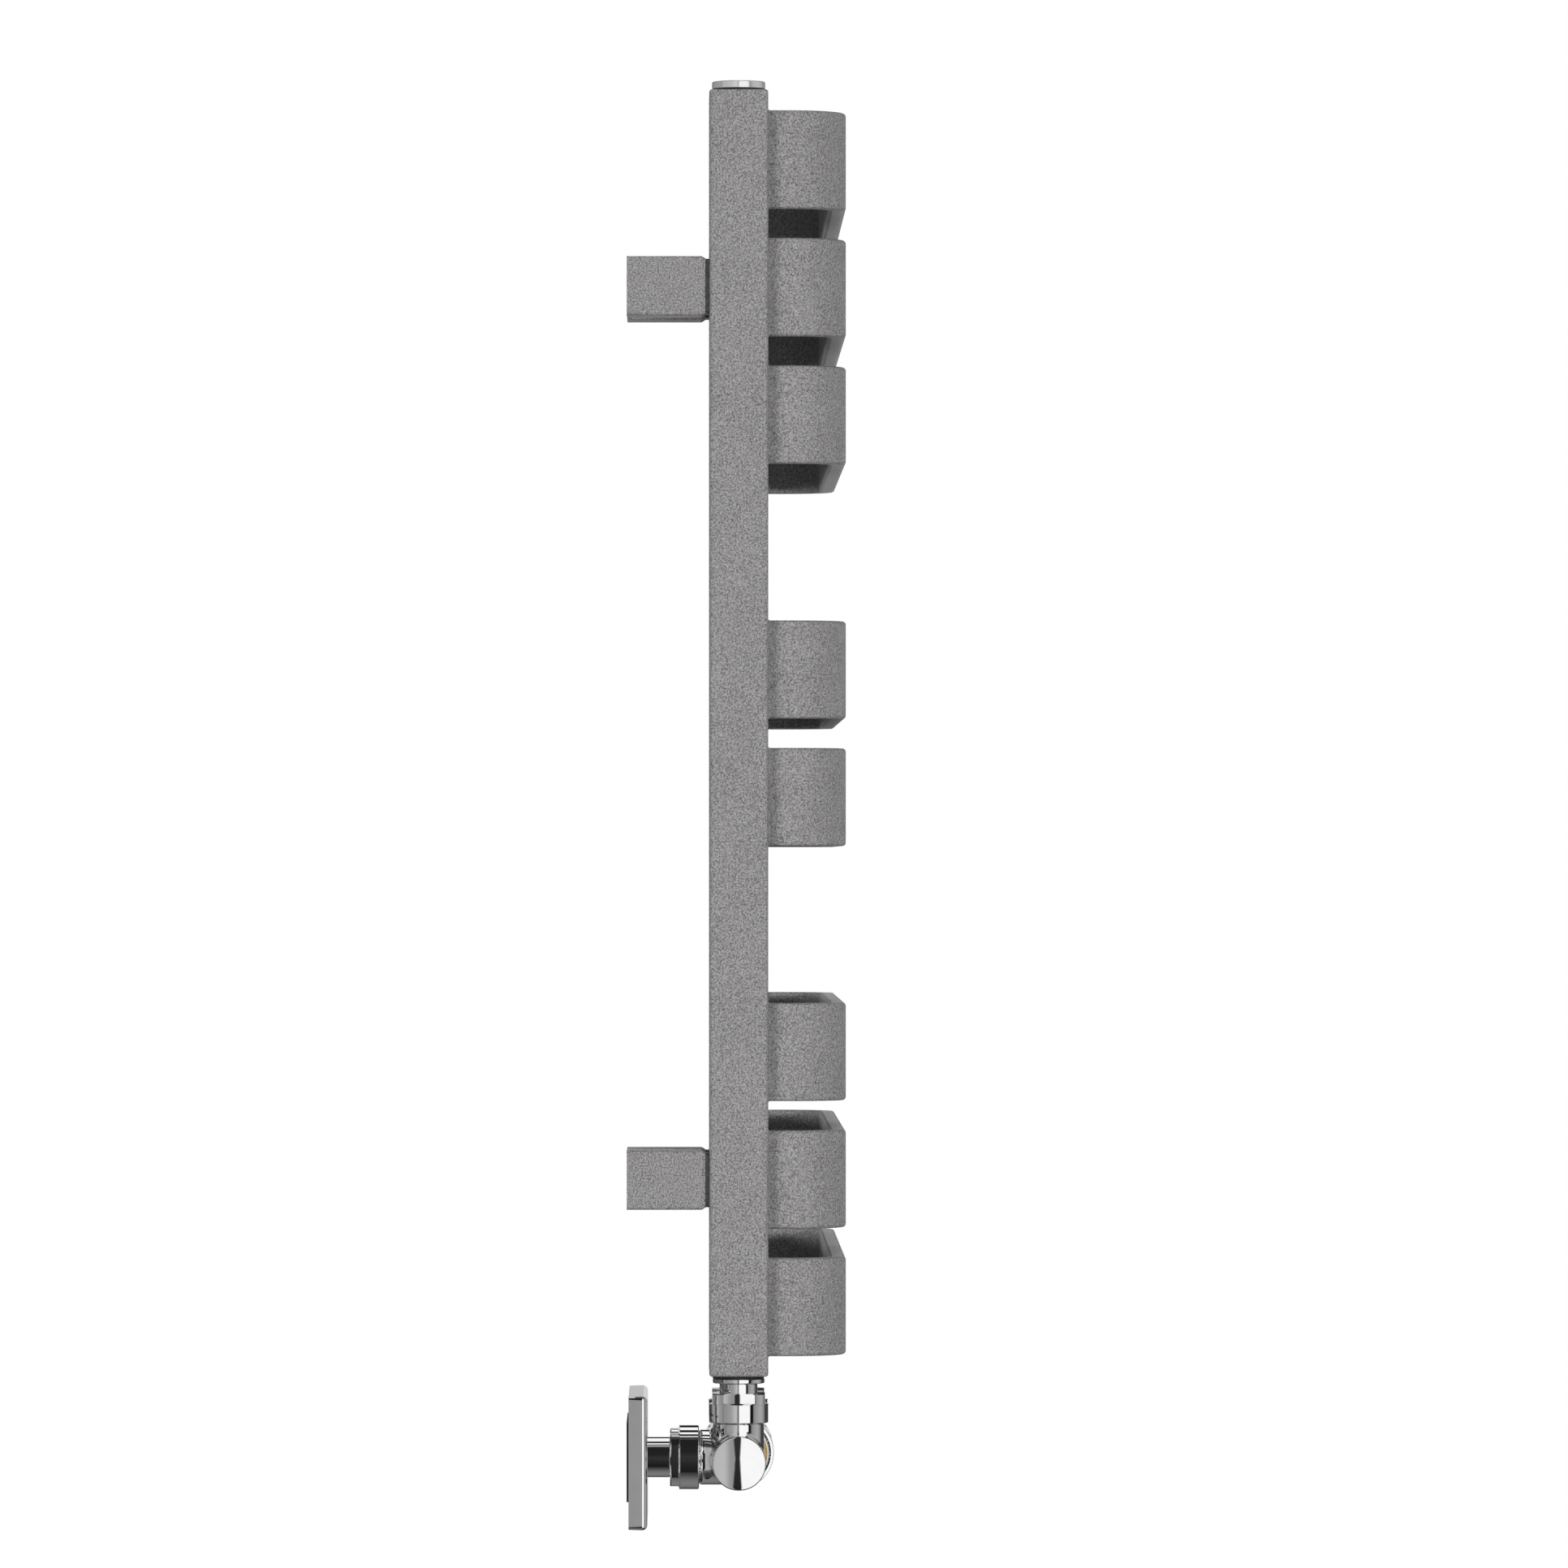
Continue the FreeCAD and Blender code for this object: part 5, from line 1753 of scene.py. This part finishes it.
    def end_cap(self) -> None:
        """Makes the slightly domed end cap."""
        start, end = along_barrel(1, "head_end_cap")
        face = dome_rings(self.cap_radius, end, self.dome, (0.92, 0.8, 0.66, 0.5, 0.34, 0.17))
        cap = [Corner(0, start), Corner(self.cap_radius, start),
               Corner(self.cap_radius, end - self.dome, 0.3 * MM), *face]
        spin("head_end_cap", cap, barrel_end(1), Coat.SATIN, "head_handle", 144)

    def wrapped(self, name: str, data: bpy.types.Mesh, radius: float, turn: float,
                start: float) -> bpy.types.Mesh:
        """Lays a flat drawing on the handle.

        Args:
            name: name of the result.
            data: the drawing, with its middle line at zero.
            radius: radius of the round that it lies on.
            turn: where its middle goes, from the top and right-handed about the axis.
            start: where its foot goes along the axis.

        Returns:
            The bent mesh.
        """
        work = bmesh.new()
        work.from_mesh(data)
        bmesh.ops.triangulate(work, faces=work.faces)
        bmesh.ops.subdivide_edges(work, edges=work.edges, cuts=self.ink_cuts,
                                  use_grid_fill=True)
        axis = barrel_end(1)
        for vertex in work.verts:
            angle = turn - vertex.co.x / radius
            vertex.co = axis @ Vector((radius * math.cos(angle), radius * math.sin(angle),
                                       start + vertex.co.y))
        bmesh.ops.recalc_face_normals(work, faces=work.faces)
        outward = sum((face.normal.dot(face.calc_center_median() - axis.translation)
                       for face in work.faces), 0.0)
        if outward < 0:
            bmesh.ops.reverse_faces(work, faces=work.faces)
        result = bpy.data.meshes.new(name)
        work.to_mesh(result)
        work.free()
        result.shade_smooth()
        return result

    def mark(self, number: int) -> None:
        """Prints one number of the scale on the handle.

        Args:
            number: the number, from 0 to 5.
        """
        text = bpy.data.curves.new(f"scale_{number}", "FONT")
        text.body = str(number)
        text.size = self.number_height / self.digit_share
        text.align_x = "CENTER"
        holder = place_object(f"scale_{number}", text)
        flat = bpy.data.meshes.new_from_object(
            holder.evaluated_get(bpy.context.evaluated_depsgraph_get()))
        bpy.data.objects.remove(holder)
        bpy.data.curves.remove(text)
        turn = (self.rest_number - number) * self.number_step
        data = self.wrapped(f"scale_number_{number}", flat, self.radius + self.number_lift,
                            turn, self.number_start)
        add_piece(f"scale_number_{number}", data, "head_handle", Coat.INK)

    def pointer(self) -> None:
        """Prints the mark on the fixed collar nut that the numbers are read against."""
        start, _ = along_barrel(1, "head_collar_nut")
        width, length = self.pointer_size
        flat = bpy.data.meshes.new("pointer")
        flat.from_pydata([(-width / 2, 0, 0), (width / 2, 0, 0), (width / 2, length, 0),
                          (-width / 2, length, 0)], [], [(0, 1, 2, 3)])
        data = self.wrapped("pointer_mark", flat, self.nut_radius + self.pointer_lift, 0,
                            start + self.pointer_start)
        add_piece("pointer_mark", data, "radiator", Coat.INK)


# ---- cover plate --------------------------------------------------------------------------

@dataclass
class CoverPlate:
    """The hollow plate that hides both holes in the wall."""

    corner: float = 2.4 * MM
    front: float = 2.6 * MM
    land: float = 5.72 * MM
    wall: float = 1.8 * MM
    lean: float = 0.35 * MM
    hole: float = 9.1 * MM
    boss: float = 11.5 * MM
    stations: int = 72

    def build(self) -> None:
        """Makes the plate: shell, front face, inner face and two tubes through it."""
        low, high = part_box("cover_plate")
        centre = middle_of("cover_plate")
        depth = high.y - low.y
        inner = depth - self.wall
        box = RoundedBox(high.x - low.x, high.z - low.z, self.corner)
        round_box = box.stations(9)
        place = facing_frame((centre.x, high.y, centre.z), (0, -1, 0), (1, 0, 0))
        skin = Skin()
        shell = softened([
            Corner(-self.wall - self.front, inner, outline=box),
            Corner(-self.wall, inner, 0.8 * MM, box),
            Corner(-self.wall, 0, outline=box), Corner(-self.lean, 0, 0.15 * MM, box),
            Corner(0, depth, self.front, box),
            Corner(-self.land, depth, outline=box)], False)
        rows = skin.tube([corner.ring(round_box) for corner in shell], place)
        outer_loops, inner_loops = [rows[-1]], [rows[0]]
        even = round_stations(self.stations)
        for name in ("return", "flow"):
            shift = middle_of(f"{name}_pipe_sleeve").x - centre.x
            tube = softened([
                Corner(self.boss, inner), Corner(self.boss, 0), Corner(self.hole, 0),
                Corner(self.hole, depth, 0.3 * MM), Corner(self.hole + 0.8 * MM, depth)], False)
            rows = skin.tube([corner.ring(even, shift) for corner in tube], place)
            inner_loops.append(rows[0])
            outer_loops.append(rows[-1])
        skin.fill(outer_loops)
        skin.fill(inner_loops)
        cover("cover_plate", skin, Coat.CHROME, "cover_plate")


# ---- parts that keep their construction mesh ----------------------------------------------

class KeptParts:
    """Dresses every construction part that is still shown."""

    coats = {coat.value.slot: coat for coat in reversed(Coat)}

    def build(self) -> None:
        """Gives each such part the finish of its slot."""
        slots = {part["node"]: part["material_slot"] for part in frame["record"]["subparts"]}
        for name, node in frame["nodes"].items():
            WARDROBE.dress_node(node, self.coats[slots[name]])
            if not node.hide_render:
                LOG.info("%s: kept, %s", name, slots[name])


# ---- studio -------------------------------------------------------------------------------

LAMPS = (
    ("key_left", (-3.4, 1.8, 0.05), (1.2, 0.3), 66.0),
    ("key_right", (-3.4, -1.9, 0.05), (1.2, 0.3), 68.0),
    ("front", (2.2, -2.5, 0.1), (2.0, 0.5), 62.0),
    ("back", (2.4, 3.0, 0.1), (2.0, 0.5), 62.0),
    ("top", (0.2, -0.06, 3.0), (0.8, 0.8), 20.0),
)


@dataclass
class Studio:
    """The camera, the soft lamps, the floor and the surroundings that metal mirrors."""

    camera_place: tuple[float, float, float] = (-5.812, -0.028, -0.0648)
    lens: float = 260.6
    sensor: float = 36.0
    shift: tuple[float, float] = (0.0652, 0.0487)
    target: tuple[float, float, float] = (0.15, -0.06, 0.0)
    floor_place: tuple[float, float] = (0.2, -0.62)
    floor_radius: float = 1.2
    floor_glow: float = 0.7
    ambient: tuple[float, float] = (0.13, 0.07)
    hoop_shift: float = -0.012
    hoop_width: float = 0.028
    hoop_flare: float = 0.06
    hoop_edge: float = 0.008

    def build(self) -> None:
        """Sets up everything round the radiator."""
        self.camera()
        self.world()
        self.floor()
        for name, place, size, power in LAMPS:
            self.lamp(name, place, size, power)
        bpy.context.scene.view_settings.view_transform = "Standard"

    def camera(self) -> None:
        """Places the camera level, looking along the radiator's width."""
        data = bpy.data.cameras.new("camera")
        data.lens, data.sensor_width = self.lens, self.sensor
        data.shift_x, data.shift_y = self.shift
        data.clip_end = 50
        item = place_object("camera", data)
        item.location = self.camera_place
        item.rotation_euler = (math.pi / 2, 0, -math.pi / 2)
        bpy.context.scene.camera = item

    def lamp(self, name: str, place: tuple[float, float, float],
             size: tuple[float, float], power: float) -> None:
        """Adds a soft oblong lamp that points at the radiator's middle.

        Args:
            name: the lamp's name.
            place: where it stands.
            size: its width and its height.
            power: its power in watts.
        """
        data = bpy.data.lights.new(name, "AREA")
        data.shape, data.energy = "RECTANGLE", power
        data.size, data.size_y = size
        item = place_object(name, data)
        item.location = place
        aim = Vector(self.target) - Vector(place)
        item.rotation_euler = aim.to_track_quat("-Z", "Y").to_euler()
        item.visible_glossy = False

    def floor(self) -> None:
        """Adds a pale round floor well below the radiator."""
        shift, level = self.floor_place
        ring = Corner(self.floor_radius, level).ring(round_stations(), shift)
        data = bpy.data.meshes.new("floor")
        data.from_pydata(ring.tolist(), [], [list(range(len(ring)))])
        item = place_object("floor", data)
        material = bpy.data.materials.new("floor_finish")
        graph = Graph(material)
        clouds = graph.noise(0.2)
        tone = graph.tones(clouds, grey(0.92), grey(0.95))
        matt = graph.tones(clouds, grey(0.27), grey(0.30))
        lit = graph.node("ShaderNodeBsdfPrincipled", {"Base Color": matt, "Roughness": 0.8})
        glow = graph.node("ShaderNodeEmission", {"Color": tone, "Strength": 1.0})
        eye = graph.node("ShaderNodeLightPath").outputs["Is Camera Ray"]
        seen = graph.sum("MULTIPLY", eye, self.floor_glow)
        both = graph.node("ShaderNodeMixShader", {
            0: seen, 1: lit.outputs["BSDF"], 2: glow.outputs["Emission"]}).outputs[0]
        graph.node("ShaderNodeOutputMaterial", {"Surface": both})
        data.materials.append(material)
        item.visible_glossy = False
        item.visible_shadow = False

    def world(self) -> None:
        """Wires the surroundings: white to the eye, strips of light and dark in metal."""
        world = bpy.data.worlds.new("studio")
        bpy.context.scene.world = world
        graph = Graph(world)
        way = graph.node("ShaderNodeTexCoord").outputs["Generated"]
        parts = graph.node("ShaderNodeSeparateXYZ", {"Vector": way})
        x, y, z = (parts.outputs[axis] for axis in "XYZ")
        path = graph.node("ShaderNodeLightPath")
        mirrored = graph.sum("MAXIMUM", path.outputs["Is Glossy Ray"],
                             path.outputs["Is Transmission Ray"])
        room = graph.node("ShaderNodeBackground", {
            "Color": (1, 1, 1, 1), "Strength": graph.spread(y, *self.ambient, -1, 1)}).outputs[0]
        mirror = graph.node("ShaderNodeBackground", {
            "Color": self.reflected(graph, x, y, z), "Strength": 1.0}).outputs[0]
        white = graph.node("ShaderNodeBackground", {
            "Color": (1, 1, 1, 1), "Strength": 1.0}).outputs[0]
        lit = graph.node("ShaderNodeMixShader", {0: mirrored, 1: room, 2: mirror}).outputs[0]
        seen = graph.node("ShaderNodeMixShader", {
            0: path.outputs["Is Camera Ray"], 1: lit, 2: white}).outputs[0]
        graph.node("ShaderNodeOutputWorld", {"Surface": seen})

    def strip(self, graph: Graph, angle: bpy.types.NodeSocket, full: float,
              stops: Sequence[tuple[float, float]]) -> bpy.types.NodeSocket:
        """Gives brightness that changes with an angle.

        Args:
            graph: the world's graph.
            angle: the angle in radians.
            full: the range in degrees on each side of zero.
            stops: angles in degrees and how bright it is there.

        Returns:
            The brightness as a colour.
        """
        share = graph.sum("MULTIPLY_ADD", angle, 1 / math.radians(2 * full), 0.5)
        return graph.ramp(share, [
            ((turn + full) / (2 * full), grey(level)) for turn, level in stops])

    def reflected(self, graph: Graph, x: bpy.types.NodeSocket, y: bpy.types.NodeSocket,
                  z: bpy.types.NodeSocket) -> bpy.types.NodeSocket:
        """Gives the soft boxes, flags and gaps that metal mirrors in each direction.

        Args:
            graph: the world's graph.
            x: how far the direction leads along the radiator's width.
            y: how far it leads into the wall.
            z: how far it leads upwards.

        Returns:
            The colour of the surroundings.
        """
        back = graph.sum("MULTIPLY", x, -1.0)
        turn = graph.sum("ARCTAN2", graph.sum("MULTIPLY", y, -1.0), back)
        walls = self.strip(graph, turn, 180, (
            (-180, 0.677), (-172, 0.565), (-167, 0.023), (-150, 0.034), (-126, 0.124),
            (-117, 0.102), (-114, 0.011), (-110, 0.113), (-85, 0.113), (-77, 0.056),
            (-72, 0.102), (-69, 0.452), (-62, 0.226), (-55, 0.271), (-28, 0.35), (-20, 0.452),
            (-9, 0.519), (-5, 0.305), (-3, 0.282), (1, 1.0), (43, 1.0), (47, 0.0), (56, 0.011),
            (61, 0.215), (69, 0.305), (94, 0.406), (103, 0.35), (114, 0.271), (124, 0.056),
            (166, 0.045), (171, 0.565), (180, 0.677)))
        rise = graph.sum("ARCSINE", z)
        shade = self.strip(graph, rise, 90, (
            (-90, 0.136), (-60, 0.12), (-48, 0.28), (-40, 1.0), (52, 1.0), (60, 0.2),
            (72, 0.04), (80, 0.8), (90, 0.8)))
        over = graph.sum("ARCTAN2", z, back)
        hoop = self.strip(graph, over, 180, (
            (-180, 0.542), (-170, 0.452), (-160, 0.036), (-143, 0.081), (-125, 0.181),
            (-100, 0.199), (-80, 0.154), (-66, 0.09), (-50, 0.041), (-46, 0.011), (-20, 0.018),
            (14, 0.032), (34, 0.018), (98, 0.014), (101, 1.0), (134, 1.0), (138, 0.009),
            (160, 0.009), (170, 0.452), (180, 0.542)))
        off = graph.sum("ABSOLUTE", graph.sum("ADD", y, self.hoop_shift))
        limit = graph.sum("MULTIPLY_ADD", graph.sum("ABSOLUTE", z), self.hoop_flare,
                          self.hoop_width)
        share = graph.spread(graph.sum("SUBTRACT", off, limit), 1.0, 0.0, -self.hoop_edge,
                             self.hoop_edge)
        boxed = graph.node("ShaderNodeMix", {
            "Factor": 1.0, "A": walls, "B": shade}, data_type="RGBA", blend_type="MULTIPLY")
        return graph.node("ShaderNodeMix", {
            "Factor": share, "A": boxed.outputs["Result"], "B": hoop},
            data_type="RGBA").outputs["Result"]


# ---- the whole scene ----------------------------------------------------------------------

def main() -> None:
    """Builds the radiator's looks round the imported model, piece by piece."""
    logging.basicConfig(level=logging.INFO, format="%(message)s")
    Studio().build()
    for name in ("return", "flow"):
        Collector(name).build()
    for number in range(1, 9):
        HeatingBand(number).build()
    TopPlugs().build()
    for number in range(1, 5):
        Bracket(number).build()
    seals = Skin()
    for name in ("return", "flow"):
        CollectorUnion(name).build(seals)
        PipeConnection(name).build()
    cover("tail_seals", seals, Coat.RUBBER)
    ValveBody().build()
    Lockshield().build()
    ThermostaticHead().build()
    CoverPlate().build()
    KeptParts().build()


if __name__ == "__main__":
    main()
